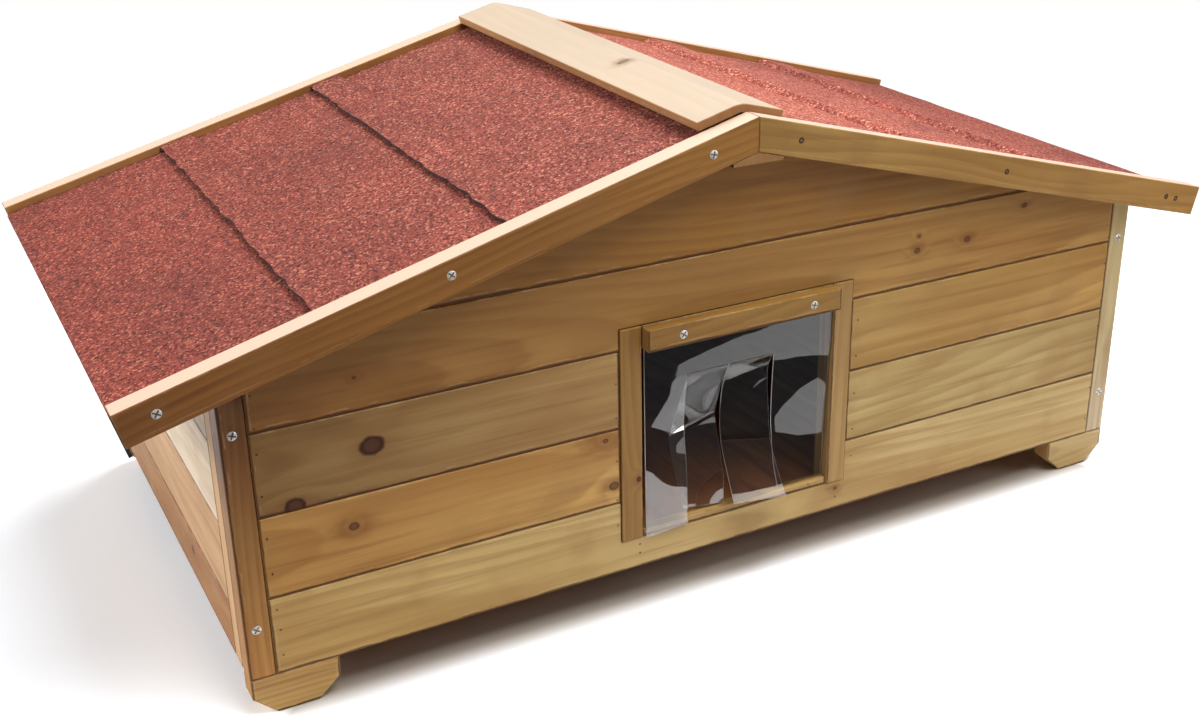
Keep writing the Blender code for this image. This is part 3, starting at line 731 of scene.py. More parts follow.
@dataclass(frozen=True)
class FirDresser:
    """Gives wooden nodes their stained and grained materials."""

    effects: Effects
    knot_core: Colour = paint(80, 42, 22)
    knot_ring: Colour = paint(50, 22, 10)
    edge_width: float = 0.0011

    def dress(self, name: str, item: bpy.types.Object, look: BoardLook) -> None:
        """Make a board's material and put it on the board.

        Args:
            name: Name of the board.
            item: The board.
            look: How the board was cut and stained.
        """
        turn = look.run.turn()
        places = [turn @ corner.co for corner in item.data.vertices]
        low, high = (Vector(end(place[axis] for place in places) for axis in range(3)) for end in (min, max))
        middle = (low + high) / 2
        bench = Finish(f"{name}_fir")
        place = bench.place.turned(turn, -middle)
        facing = bench.facing.turned(turn, Vector((0.0, 0.0, 0.0)))
        knots = self._knots(bench, place, look, turn, middle)
        figure = bench.group(
            self.effects.figure, place=place, seed=float(look.seed), pith_across=look.pith_across,
            pith_depth=look.pith_depth, ring_width=look.ring_width, taper=look.taper,
            swirl=knots.swirl if knots else 0.0,
        )
        wear_and_light = bench.group(self.effects.wear_and_light, place=place, facing=facing, half_size=tuple((high - low) / 2),
                           width=self.edge_width)
        grime = bench.group(self.effects.grime, place=place, scale=16.0, amount=0.35)
        along = place.parts()[0].reach(low.x - middle.x, high.x - middle.x, soft=False)
        # Painted light and shade, blended from one end of the board to the other.
        colour = self._colour(look, along.mix(look.start_painted_light, look.end_painted_light), figure, wear_and_light, grime)
        height = figure.fibre * 0.6 + figure.late_wood * 0.25
        if knots:
            colour = (knots.halo * 0.75).mix(colour, tinted(look.stain.late, 0.62, 0.42, 0.22))
            colour = (knots.core * 0.92).mix(colour, self.knot_core)
            colour = (knots.ring * 0.85).mix(colour, self.knot_ring)
            height += knots.core * 0.5
        rough = look.stain.roughness
        fibre_rough = figure.fibre.reach(0.3, 0.7, rough - 0.07, rough + 0.09, False)
        dress(item, bench.done(base_color=colour, roughness=fibre_rough + wear_and_light.sawn_end * 0.2,
                               specular_ior_level=0.3, normal=height.bump(0.28, 0.0006)))

    def _knots(self, bench: Finish, place: Wire, look: BoardLook, turn: Matrix,
               middle: Vector) -> SimpleNamespace | None:
        """Masks of all the knots in a board.

        Args:
            bench: Bench of the board's material.
            place: Place in the board's own frame.
            look: How the board was cut.
            turn: Turn from the house's frame to the board's.
            middle: Middle of the board, turned.

        Returns:
            Core, ring, halo and swirl, or None on a board without knots.
        """
        if not look.knots:
            return None
        masks = []
        for one in look.knots:
            spot = turn @ Vector(one.middle) - middle
            mask = bench.group(self.effects.knot, place=place, middle=tuple(spot), radius=one.radius,
                               halo_reach=one.halo)
            masks.append((mask.core * one.depth, mask.ring * one.depth, mask.halo * one.red, mask.swirl))
        cores, rings, halos, swirls = zip(*masks)
        return SimpleNamespace(core=reduce(Wire.most, cores), ring=reduce(Wire.most, rings),
                               halo=reduce(Wire.most, halos), swirl=reduce(Wire.__add__, swirls))

    @staticmethod
    def _colour(look: BoardLook, painted_light: Wire, figure: SimpleNamespace, wear_and_light: SimpleNamespace,
                grime: SimpleNamespace) -> Wire:
        """Colour of a board from its figure, its painted light, its scuffed and highlit edges with the
        painted shade in its seams, and its grime.

        Args:
            look: How the board was cut and stained.
            painted_light: Painted light and shade along the board, with some of the stain's tone.
            figure: Masks of the grain.
            wear_and_light: Masks of the scuffed and highlit edges, the painted shade in the seams, the ends
                and the upward faces.
            grime: Mask of the dirt.

        Returns:
            The colour.
        """
        stain = look.stain
        light, dark, late = (tinted(shade, look.tone) for shade in (stain.light, stain.dark, stain.late))
        colour = figure.patch.reach(0.36, 0.64).mix(light, dark)
        colour = (figure.late_wood * stain.figure).mix(colour, late)
        colour = (figure.streak.reach(0.5, 0.72) * stain.streak).mix(colour, tinted(late, 0.82))
        colour = (figure.streak.reach(0.48, 0.3) * (stain.streak / 2)).mix(colour, tinted(light, 1.18))
        colour = (figure.tint.reach(0.45, 0.62) * stain.olive).mix(colour, tinted(dark, 0.94, 1.0, 0.92))
        # The warmth is the stain's own; the shares along the board are painted light and shade.
        colour = colour * (1.0 + look.warmth, 1.0, 1.0 - look.warmth) * painted_light
        colour = grime.blots.mix(colour, tinted(dark, 0.75))
        sawn = tinted(tinted(dark, 0.86, 0.8, 0.74), stain.end_tone)
        colour = (wear_and_light.sawn_end * 0.75).mix(colour, sawn)
        # Scuffed edges and painted highlights on the arrises.
        colour = (wear_and_light.rubbed * stain.worn_and_highlit_share).mix(colour, stain.rubbed)
        # Painted shade in the seams between boards.
        colour = (wear_and_light.seam_dirt * stain.seam).mix(colour, tinted(stain.late, 0.20, 0.12, 0.045))
        # Painted highlight on the upward faces.
        return (wear_and_light.upward * stain.top_highlight).mix(colour, stain.top_highlight_colour) if stain.top_highlight else colour


# Painted light and shade along each board in view, with some of its stain's tone, as shares of each colour
# at the board's two ends.
BOARD_PAINTED_LIGHT: dict[str, tuple[Colour, Colour]] = {
    "front_gable_board": ((0.6, 0.44, 0.21), (0.8, 0.66, 0.28)),
    "front_board_4": ((0.6, 0.49, 0.32), (1.0, 0.98, 0.74)),
    "front_board_3_left": ((0.46, 0.4, 0.29), (0.99, 1.07, 1.13)),
    "front_board_3_right": ((0.96, 1.08, 0.99), (0.96, 0.95, 0.76)),
    "front_board_2_left": ((0.74, 0.65, 0.43), (1.05, 1.12, 0.99)),
    "front_board_2_right": ((1.07, 1.29, 1.4), (0.94, 1.08, 1.15)),
    "front_board_1": ((1.0, 1.15, 1.15), (1.12, 1.4, 1.75)),
    "front_left_post": ((0.94, 0.82, 0.60), (0.14, 0.03, 0.0)),
    "front_right_post": ((1.26, 1.76, 3.3), (1.29, 1.8, 2.6)),
    "door_left_jamb": ((0.64, 0.58, 0.37), (0.56, 0.48, 0.27)),
    "door_right_jamb": ((0.88, 0.93, 0.95), (0.82, 0.85, 0.83)),
    "curtain_clamp_batten": ((0.6, 0.55, 0.33), (0.67, 0.63, 0.4)),
    "door_header": ((0.6, 0.55, 0.33), (0.68, 0.65, 0.42)),
    "door_sill": ((0.95, 1.0, 0.95), (0.95, 1.0, 0.95)),
    "front_left_bargeboard": ((0.53, 0.39, 0.2), (0.78, 0.69, 0.36)),
    "front_right_bargeboard": ((0.98, 1.13, 0.88), (1.14, 1.23, 1.02)),
    "left_side_board_1": ((0.58, 0.41, 0.23), (0.52, 0.38, 0.20)),
    "left_side_board_2": ((0.82, 0.72, 0.62), (0.82, 0.72, 0.62)),
    "left_side_board_3": ((1.07, 1.37, 2.0), (1.07, 1.37, 2.0)),
    "left_side_board_4": ((1.1, 1.4, 2.0), (1.1, 1.4, 2.0)),
    "front_left_foot": ((0.91, 0.97, 0.92), (0.91, 0.97, 0.92)),
    "front_right_foot": ((1.0, 1.3, 1.7), (1.0, 1.3, 1.7)),
}


@dataclass
class Woodwork:
    """All the boards, posts, battens and feet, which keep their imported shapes."""

    dresser: FirDresser

    def build(self) -> None:
        """Put each board's material on its node."""
        for name, look in self._looks().items():
            if name in BOARD_PAINTED_LIGHT:
                start, end = BOARD_PAINTED_LIGHT[name]
                look = replace(look, start_painted_light=start, end_painted_light=end)
            self.dresser.dress(name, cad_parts[name], look)
            log.info("dressed %s", name)

    def _looks(self) -> dict[str, BoardLook]:
        """Settle how each piece of wood was cut and stained.

        Returns:
            Look of each piece under its name.
        """
        across, deep, upright = GrainRun.ACROSS, GrainRun.DEEP, GrainRun.UPRIGHT
        door_knots = (knot(-340, 142, 3.6, 3.6, 0.6), knot(-121, 117, 4.0, 2.4, 0.8),
                      knot(-128, 160, 2.2, 8.0, 0.7))
        high_knots = (knot(179, 268, 2.8, 3.2), knot(180, 281, 1.6), knot(234.5, 269, 3.0, 2.6),
                      knot(298, 290, 2.6), knot(-330, 262, 1.4, 4.0))
        dark_knots = (knot(-321, 205, 8.4, 1.5, 0.35), knot(-382, 171, 7.0, 1.6, 0.35))
        jamb_knot = Knot((-0.0985, FRONT_FACE, 0.118), 0.0022, 2.5, 0.6)
        cap_knot = Knot((-0.014, -0.060, 0.4205), 0.0028, 2.4, 0.6, 0.5)
        side_knot = Knot((-0.43, -0.075, 0.062), 0.004, 4.0, 0.8)
        looks = {
            "front_gable_board": BoardLook(across, HONEY, 1, 0.92, 0.0, -0.08, 0.07, 0.008, 0.05),
            "front_board_4": BoardLook(across, HONEY, 2, 0.92, 0.03, -0.02, 0.045, 0.007, 0.045, high_knots),
            "front_board_3_left": BoardLook(across, HONEY, 3, 0.98, -0.03, 0.01, 0.05, 0.008, 0.03,
                                            dark_knots),
            "front_board_3_right": BoardLook(across, HONEY, 4, 1.0, 0.02, 0.03, 0.05, 0.009, 0.04),
            "front_board_2_left": BoardLook(across, HONEY, 5, 1.05, 0.04, 0.0, 0.07, 0.006, 0.02,
                                            door_knots),
            "front_board_2_right": BoardLook(across, HONEY, 6, 1.05, -0.04, 0.05, 0.06, 0.010, 0.06),
            "front_board_1": BoardLook(across, HONEY, 7, 1.06, 0.0, -0.03, 0.06, 0.007, 0.03,
                                       (knot(103, 54, 1.6, 4.0, 0.7),)),
            "door_left_jamb": BoardLook(upright, HONEY, 8, 1.0, 0.0, 0.03, 0.04, 0.004, 0.02, (jamb_knot,)),
            "door_right_jamb": BoardLook(upright, HONEY, 9, 1.04, -0.02, 0.03, 0.04, 0.005, 0.02),
            "door_sill": BoardLook(across, HONEY, 10),
            "door_header": BoardLook(across, HONEY, 11, 0.95),
            "curtain_clamp_batten": BoardLook(across, HONEY, 12, 1.0, 0.0, 0.02, 0.04, 0.006, 0.03),
            "front_left_post": BoardLook(upright, HONEY, 13, 1.0, 0.02, 0.02, 0.04, 0.004, 0.01),
            "front_right_post": BoardLook(upright, HONEY, 14, 1.02, -0.02, 0.02, 0.04, 0.004, 0.01),
            "rear_left_post": BoardLook(upright, PALE, 15),
            "rear_right_post": BoardLook(upright, PALE, 16),
            "ridge_beam": BoardLook(deep, ROUGH, 17),
            "ridge_cap": BoardLook(deep, BARE, 18, 1.0, 0.0, 0.02, 0.05, 0.012, 0.03, (cap_knot,)),
            # The floor inside darkens to black towards the back: painted shade.
            "floor_panel": BoardLook(GrainRun.FLAT_DEEP, FLOORING, 19, 1.0, 0.0, 0.0, 0.09, 0.02, 0.1, (),
                                     (0.85, 0.8, 0.7), (0.0, 0.0, 0.0)),
            "floor_bearer": BoardLook(across, ROUGH, 20),
            "rear_middle_stile": BoardLook(upright, ROUGH, 21),
            "left_side_board_1": BoardLook(deep, PALE, 30, 0.86, 0.08, 0.0, 0.05, 0.006, 0.03, (side_knot,)),
        }
        seed = 40
        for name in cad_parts:
            if name in looks or "felt" in name or name.startswith(("curtain_top", "curtain_strip")):
                continue
            seed += 1
            looks[name] = self._usual(name, seed)
        return looks

    @staticmethod
    def _usual(name: str, seed: int) -> BoardLook:
        """Look of a piece of wood by the words in its name.

        Args:
            name: Name of the piece.
            seed: Seed of its draws and of its grain.

        Returns:
            The look.
        """
        chance = random.Random(seed)
        tone = 0.96 + 0.1 * chance.random()
        pith = (chance.random() - 0.5) * 0.12
        slope = GrainRun.LEFT_SLOPE if "left" in name else GrainRun.RIGHT_SLOPE
        batten = (GrainRun.UPRIGHT_SIDEWAYS, PALE, tone * 0.95, 0.02, 0.04, 0.004, 0.01)
        kinds = {
            "bargeboard": (slope, BROWN, tone, 0.0, 0.04, 0.005, 0.02),
            "foot": (GrainRun.ACROSS, HONEY, 1.06, 0.02, 0.03, 0.004, 0.02),
            "side_board": (GrainRun.DEEP, PALE, tone, 0.0, 0.05, 0.007, 0.04),
            "front_batten": batten,
            "rear_batten": batten,
            "roof_deck": (slope, ROUGH, tone, 0.0, 0.05, 0.008, 0.03),
            "eave_batten": (GrainRun.DEEP, ROUGH, tone, 0.0, 0.05, 0.005, 0.02),
            "": (GrainRun.ACROSS, PALE, tone, 0.0, 0.05, 0.007, 0.04),
        }
        run, stain, shade, warmth, *growth = next(kind for word, kind in kinds.items() if word in name)
        return BoardLook(run, stain, seed, shade, warmth, pith, *growth)


# Felt


@dataclass(frozen=True)
class MineralFelt:
    """Bitumen felt faced with crushed red mineral."""

    deep: Colour = paint(92, 32, 28)
    main: Colour = paint(156, 74, 63)
    bright: Colour = paint(214, 140, 120)
    dark_chip: Colour = paint(50, 24, 25)
    pale_chip: Colour = paint(226, 160, 142)
    bitumen: Colour = paint(46, 44, 48)
    dust: Colour = paint(84, 80, 82)

    def facing(self, effects: Effects, word: str, fade: tuple[Colour, Colour]) -> bpy.types.Material:
        """Material of the granulated face.

        Args:
            effects: Shared effects.
            word: Slope that the felt is on.
            fade: Painted light and shade on each colour, at the eaves and by the ridge.

        Returns:
            The material.
        """
        bench = Finish(f"{word}_red_mineral_felt")
        place = bench.place
        grain_edge, (lot, _, _) = place.cells(600.0)
        chip_edge, (_, chip_lot, _) = (place + (3.1, 1.7, 0.4)).cells(360.0)
        chip = chip_edge.reach(0.2, 0.5, 1.0, 0.0)
        colour = lot.reach(0.0, 0.55).mix(self.deep, self.main)
        colour = lot.reach(0.82, 1.0).mix(colour, self.bright)
        colour = (chip_lot.reach(0.62, 0.68) * chip * 0.9).mix(colour, self.dark_chip)
        colour = (chip_lot.reach(0.12, 0.06) * chip * 0.7).mix(colour, self.pale_chip)
        colour = colour * place.noise(9.0, 4.0, 0.6).reach(0.35, 0.65, 0.88, 1.1, False)
        # Painted light and shade, changing from the eaves to the ridge.
        colour = colour * place.parts()[2].reach(0.28, 0.40, soft=False).mix(*fade)
        colour = effects.blots(bench, 11.0, 0.25).mix(colour, self.deep)
        height = lot * 0.7 - grain_edge
        return bench.done(base_color=colour, roughness=lot.reach(0.0, 1.0, 0.98, 0.75, False),
                          normal=height.bump(0.65, 0.0007))

    def backing(self, effects: Effects) -> bpy.types.Material:
        """Material of the cut edge and the bitumen underside.

        Args:
            effects: Shared effects.

        Returns:
            The material.
        """
        bench = Finish("felt_bitumen_edge")
        _, (lot, _, _) = bench.place.cells(700.0)
        colour = lot.reach(0.75, 0.95).mix(self.bitumen, tinted(self.deep, 0.8))
        return bench.done(base_color=effects.blots(bench, 20.0, 0.5).mix(colour, self.dust),
                          roughness=bench.place.noise(160.0, 3.0).reach(0.3, 0.7, 0.55, 0.85, False),
                          normal=bench.place.noise(420.0, 4.0).bump(0.6, 0.0006))


class Side(Enum):
    """Side of the house: its word, its slope's turn about Z, and its felt's fold and painted light."""

    # The felt's shares at the eaves and by the ridge are painted light and shade; the right slope is painted
    # much lighter than the left.
    LEFT = ("left", math.pi, 0.0365, ((0.70, 0.53, 0.42), (0.88, 0.90, 0.79)))
    RIGHT = ("right", 0.0, 0.0230, ((0.86, 0.72, 0.58), (1.58, 1.78, 1.58)))

    def __init__(self, word: str, heading: float, fold_drop: float, fade: tuple[Colour, Colour]) -> None:
        """Name the side's values.

        Args:
            word: The side's word in names.
            heading: Turn about Z of the slope.
            fold_drop: How far the felt is folded down over the eave.
            fade: Painted light and shade on each colour of the felt, at the eaves and by the ridge.
        """
        self.word = word
        self.heading = heading
        self.fold_drop = fold_drop
        self.fade = fade


@dataclass
class FeltCourse:
    """One lapped course of felt on a slope, modelled flat and then laid on the slope."""

    word: str
    side: Side
    start: float
    end: float
    laps: bool
    base: float = -0.0092
    thickness: float = 0.0027
    reach: float = 0.23945
    cell: float = 0.005
    step_back: float = 0.033
    rise: float = 0.0050
    swell: float = 0.0011
    wander: float = 0.0075
    ragged: float = 0.0030
    fold_steps: int = 5
    fold_bend: float = 0.0026
    edge_reach: float = 0.0005

    def build(self, facing: bpy.types.Material, backing: bpy.types.Material) -> None:
        """Model the course, lay it on its slope and dress it.

        Args:
            facing: Material of the granulated face.
            backing: Material of the cut edge and underside.
        """
        name = f"{self.side.word}_{self.word}_felt_course"
        length = self.end - self.start
        width = 2 * self.reach
        top = self.base + self.thickness
        course = Piece.grid(name, round(length / self.cell), round(width / self.cell))
        course.settle((self.start + length / 2, 0.0, top), scale=(length, width, 1.0))
        if self.laps:
            self._step_over(course)
        else:
            self._fold_down(course, top)
        self._ruffle(course, name)
        dress(course.item, facing, backing)
        course.modify("SOLIDIFY", thickness=self.thickness, offset=-1.0, material_offset=1,
                      material_offset_rim=1, use_even_offset=True)
        course.settle((0.0, 0.0, RIDGE_HEIGHT), (0.0, PITCH, self.side.heading))
        course.smooth(35)
        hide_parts(f"{self.side.word}_{self.word}_felt")
        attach(course.item, "roof")
        log.info("laid %s", name)

    def _step_over(self, course: Piece) -> None:
        """Raise the lower end over the course below.

        Args:
            course: The flat course.
        """
        course.edit()
        course.pick_corners(lambda place: place.x > self.end - self.step_back)
        course.shift((0.0, 0.0, self.rise))
        course.close()

    def _fold_down(self, course: Piece, top: float) -> None:
        """Fold the lower end down over the eave, with a soft bend.

        Args:
            course: The flat course.
            top: Height of its face.
        """
        drop = {"value": (0.0, 0.0, -self.side.fold_drop / self.fold_steps)}
        course.edit()
        course.pick_corners(lambda place: place.x > self.end - self.edge_reach)
        for _ in range(self.fold_steps):
            bpy.ops.mesh.extrude_region_move(TRANSFORM_OT_translate=drop)
        course.pick_corners(lambda place: place.x > self.end - self.edge_reach)
        course.shift((self.thickness, 0.0, 0.0))
        course.pick_corners(lambda place: place.x > self.end and abs(place.z - top) < 0.0002)
        bpy.ops.mesh.bevel(offset=self.fold_bend, segments=3, affect="EDGES")
        course.close()

    def _ruffle(self, course: Piece, name: str) -> None:
        """Make the face a little uneven and a lapped edge a little ragged.

        Args:
            course: The flat course.
            name: Its name.
        """
        course.modify("DISPLACE", texture=self._cloudy(f"{name}_swell", 0.045, 2), strength=self.swell,
                      direction="Z", mid_level=0.62)
        if self.laps:
            edge = course.item.vertex_groups.new(name="cut_edge")
            corners = course.item.data.vertices
            marked = [corner.index for corner in corners if corner.co.x > self.end - self.ragged]
            edge.add(marked, 1.0, "REPLACE")
            course.modify("DISPLACE", texture=self._cloudy(f"{name}_wander", 0.022, 4), strength=self.wander,
                          direction="X", vertex_group="cut_edge")
            course.item.vertex_groups.clear()

    @staticmethod
    def _cloudy(name: str, size: float, depth: int) -> bpy.types.Texture:
        """Soft noise that a Displace modifier reads.

        Args:
            name: Name of the texture.
            size: Size of its lumps.
            depth: Number of finer layers.

        Returns:
            The texture.
        """
        texture = bpy.data.textures.new(name, "CLOUDS")
        texture.noise_scale = size
        texture.noise_depth = depth
        return texture


@dataclass
class FeltRoof:
    """Both slopes of lapped felt."""

    felt: MineralFelt
    effects: Effects
    ridge_start: float = 0.0090
    upper_end: float = 0.2126
    middle_end: float = 0.3674
    eave_end: float = 0.5165
    lap: float = 0.030

    def build(self) -> None:
        """Model the six courses."""
        backing = self.felt.backing(self.effects)
        for side in Side:
            facing = self.felt.facing(self.effects, side.word, side.fade)
            for word, start, end, laps in (
                ("upper", self.ridge_start, self.upper_end, True),
                ("middle", self.upper_end - self.lap, self.middle_end, True),
                ("eave", self.middle_end - self.lap, self.eave_end, False),
            ):
                FeltCourse(word, side, start, end, laps).build(facing, backing)


# Curtain


@dataclass(frozen=True)
class ClearPlastic:
    """Clear flexible sheet with fine rubs, and its cut edge."""

    effects: Effects
    tint: Colour = (0.94, 0.95, 0.97)
    dust: Colour = (0.86, 0.86, 0.84)
    refraction: float = 1.53

    def sheet(self) -> bpy.types.Material:
        """Material of the sheet's two faces.

        Returns:
            The material.
        """
        bench = Finish("clear_curtain_sheet")
        place = bench.place
        rubs = (place * (60.0, 60.0, 4.0)).noise(6.0, 3.0, 0.6)
        blots = self.effects.blots(bench, 40.0, 0.2)
        colour = place.noise(26.0, 3.0, 0.6).reach(0.4, 0.7).mix(self.tint, tinted(self.tint, 0.96))
        swell = (place * (1.0, 1.0, 0.6)).noise(16.0, 1.0)
        return bench.done(base_color=(blots * 0.4).mix(colour, self.dust), transmission_weight=1.0,
                          roughness=rubs.reach(0.45, 0.8, 0.0, 0.02) + blots * 0.05, ior=self.refraction,
                          normal=swell.bump(0.08, 0.002))

    def cut_edge(self) -> bpy.types.Material:
        """Material of the bright cut edge.

        Returns:
            The material.
        """
        bench = Finish("clear_curtain_cut_edge")
        marks = bench.place.noise(900.0)
        return bench.done(base_color=marks.reach(0.35, 0.65).mix((0.86, 0.87, 0.88), (0.96, 0.96, 0.97)),
                          roughness=marks.reach(0.3, 0.7, 0.3, 0.55, False), transmission_weight=0.1,
                          ior=self.refraction, normal=marks.bump(0.4, 0.0002))

    def joint(self) -> bpy.types.Material:
        """Unseen faces inside the sheet, where a strip runs on into the uncut band."""
        bench = Finish("clear_curtain_joint")
        return bench.done(base_color=bench.place.noise(26.0, 3.0, 0.6).mix(self.tint, (1.0, 1.0, 1.0)),
                          alpha=0.0)


Station = tuple[float, float, float]


@dataclass(frozen=True)
class StripHang:
    """How one strip hangs: its cut edges, and stations down its left and right edge.

    A station is the shift to the right, the shift outwards and the drop below the slit's top, each as a
    share of the strip's length.  At the crease, if it has one, both edges turn sharply.
    """

    left: float
    right: float
    left_edge: tuple[Station, ...]
    right_edge: tuple[Station, ...]
    crease: int

    def place(self, edge: tuple[Station, ...], share: float) -> Vector:
        """Place on an edge at a share of its run, smooth through the stations but for the crease.

        Args:
            edge: Stations of the edge.
            share: Share of the run.

        Returns:
            Shift to the right, shift outwards and drop.
        """
        spans = len(edge) - 1
        span = min(int(share * spans), spans - 1)
        local = share * spans - span
        first, last = 0, spans
        if self.crease > 0:
            first, last = (0, self.crease) if span < self.crease else (self.crease, spans)
        near = (max(first, min(last, span + step)) for step in (-1, 0, 1, 2))
        before, start, end, after = (Vector(edge[index]) for index in near)
        into, out_of = (end - before) / 2, (after - start) / 2
        square = local * local
        cube = square * local
        return (start * (2 * cube - 3 * square + 1) + into * (cube - 2 * square + local)
                + end * (3 * square - 2 * cube) + out_of * (cube - square))

    def shift(self, share: float, mix: float) -> Vector:
        """Shift at a share of the strip's length and a share of its width, as shares of its length."""
        return self.place(self.left_edge, share).lerp(self.place(self.right_edge, share), mix)


# Left edge, right edge and crease of each strip, where a crease of 0 is none.
STRIP_EDGES: tuple[tuple[tuple[Station, ...], tuple[Station, ...], int], ...] = (
    (((0, 0, 0), (0, 0.003, 0.200), (0, 0.006, 0.400), (0, 0.009, 0.600), (0, 0.012, 0.800),
      (0, 0.016, 0.985)),
     ((0, 0, 0), (0, -0.020, 0.170), (0, -0.038, 0.345), (0, -0.012, 0.550), (0, 0.006, 0.770),
      (0, 0.014, 0.969)), 0),
    (((0, 0, 0), (0, -0.090, 0.200), (0, -0.235, 0.509), (0, -0.155, 0.693), (0, -0.100, 0.800),
      (0, -0.048, 0.900)),
     ((0, 0, 0), (0, -0.085, 0.160), (0, -0.155, 0.375), (0, -0.090, 0.575), (0, -0.040, 0.760),
      (0, -0.036, 0.925)), 2),
    (((0, 0, 0), (0, -0.070, 0.160), (0, -0.099, 0.370), (0, -0.076, 0.550), (0, -0.006, 0.712),
      (0, 0.082, 0.885)),
     ((0, 0, 0), (0, -0.058, 0.120), (0, -0.040, 0.340), (0, -0.010, 0.550), (0.014, 0.049, 0.723),
      (0.049, 0.114, 0.908)), 0),
    (((0, 0, 0), (0, -0.010, 0.200), (0, -0.014, 0.400), (0.012, -0.018, 0.560), (0.035, -0.024, 0.745),
      (0.085, -0.036, 0.955)),
     ((0, 0, 0), (0, -0.014, 0.200), (0, -0.024, 0.360), (0, -0.030, 0.520), (0, -0.034, 0.720),
      (0, -0.040, 0.955)), 0),
)


@dataclass
class SlitCurtain:
    """Clear sheet clamped over the doorway, slit into four strips, each modelled in the shape it hangs in.
    """

    plastic: ClearPlastic
    left: float = -0.0927
    right: float = 0.0893
    top: float = 0.24995
    slit_top: float = 0.2029
    plane: float = -0.24005
    thickness: float = 0.0011
    strip_length: float = 0.1435
    gap: float = 0.0007
    slits: tuple[float, ...] = (0.2225, 0.4412, 0.6819)
    strip_columns: int = 6
    strip_rows: int = 30
    band_columns: int = 24
    band_rows: int = 6
    bend: float = 0.030

    def build(self) -> None:
        """Model the band and the strips."""
        plastics = (self.plastic.sheet(), self.plastic.cut_edge(), self.plastic.joint())
        uncut = self._hanging_grid("curtain_band", self.left, self.right, self.top, self.slit_top,
                                   self.band_columns, self.band_rows)
        self._thicken(uncut, plastics)
        band = uncut.item
        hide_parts("curtain_top")
        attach(band, "house")
        self.right - self.left
        log.info("hung %s", band.name)
        for number, hang in enumerate(self._hangs(), start=1):
            piece = self._strip(number, hang)
            self._thicken(piece, plastics)
            strip = piece.item
            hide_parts(f"curtain_strip_{number}")
            middle = (hang.left + hang.right) / 2
            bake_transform(strip)
            hang.right - hang.left
            log.info("hung %s", strip.name)

    def _hangs(self) -> list[StripHang]:
        """How the strips hang between their slits.

        Returns:
            The four hangs, from left to right.
        """
        width = self.right - self.left
        cuts = [self.left + share * width for share in self.slits]
        lows = [self.left] + [cut + self.gap / 2 for cut in cuts]
        highs = [cut - self.gap / 2 for cut in cuts] + [self.right]
        return [StripHang(low, high, *edges) for low, high, edges in zip(lows, highs, STRIP_EDGES)]

    def _hanging_grid(self, name: str, left: float, right: float, top: float, bottom: float, columns: int,
                      rows: int) -> Piece:
        """Flat grid that hangs in the curtain's plane.

        Args:
            name: Name of the piece.
            left: Its left edge.
            right: Its right edge.
            top: Its top edge.
            bottom: Its bottom edge.
            columns: Cells across.
            rows: Cells down.

        Returns:
            The piece.
        """
        sheet = Piece.grid(name, columns, rows)
        sheet.settle(((left + right) / 2, self.plane, (top + bottom) / 2), (math.pi / 2, 0.0, 0.0),
                     (right - left, top - bottom, 1.0))
        return sheet

    def _strip(self, number: int, hang: StripHang) -> Piece:
        """One strip, moved corner by corner from flat to how it hangs.

        Args:
            number: Number of the strip.
            hang: How it hangs.

        Returns:
            The strip.
        """
        strip = self._hanging_grid(f"curtain_strip_{number}_sheet", hang.left, hang.right, self.slit_top,
                                   self.slit_top - self.strip_length, self.strip_columns, self.strip_rows)
        targets = []
        for corner in strip.item.data.vertices:
            share = (self.slit_top - corner.co.z) / self.strip_length
            mix = (corner.co.x - hang.left) / (hang.right - hang.left)
            shift = hang.shift(share, mix) * self.strip_length
            targets.append(Vector((corner.co.x + shift.x, self.plane - shift.y, self.slit_top - shift.z)))
        strip.place_corners(targets)
        return strip

    def _thicken(self, sheet: Piece, plastics: Sequence[bpy.types.Material]) -> None:
        """Give a sheet its thickness and its materials.

        Args:
            sheet: The sheet.
            plastics: Materials of the faces, the cut edge and the joint.
        """
        dress(sheet.item, *plastics)
        sheet.modify("SOLIDIFY", thickness=self.thickness, offset=0.0, material_offset_rim=1,
                     use_even_offset=True)
        line, joint = self.slit_top, self.thickness
        sheet.edit()
        sheet.pick_corners(lambda place: abs(place.z - line) < joint)
        bpy.ops.transform.resize(value=(1.0, 1.0, 0.0), center_override=(0.0, self.plane, line))
        sheet.pick_faces(lambda middle, normal: abs(middle.z - line) < joint / 4 and abs(normal.z) > 0.6)
        sheet.item.active_material_index = 2
        bpy.ops.object.material_slot_assign()
        sheet.close()
        sheet.smooth(50)


# Fasteners


@dataclass(frozen=True)
class FastenerMetal:
    """Metal of a screw or a nail."""

    name: str
    base: Colour
    stain: Colour
    roughness: float
    metallic: float

    def make(self, effects: Effects) -> bpy.types.Material:
        """Material of the metal.

        Args:
            effects: Shared effects.

        Returns:
            The material.
        """
        bench = Finish(self.name)
        _, (lot, _, _) = bench.place.cells(900.0)
        blots = effects.blots(bench, 260.0, 0.8)
        colour = (lot * 0.3).mix(self.base, tinted(self.base, 0.8))
        return bench.done(base_color=blots.mix(colour, self.stain),
                          metallic=blots.reach(0.0, 0.8, self.metallic, self.metallic / 2, False),
                          roughness=lot.reach(0.0, 1.0, self.roughness - 0.06, self.roughness + 0.12, False),
                          normal=bench.place.noise(1400.0).bump(0.2, 0.0001))


ZINC = FastenerMetal("bright_zinc", paint(240, 240, 238), paint(120, 112, 100), 0.34, 0.55)
RUST = FastenerMetal("rusted_screw", paint(66, 44, 28), paint(26, 16, 10), 0.7, 0.2)
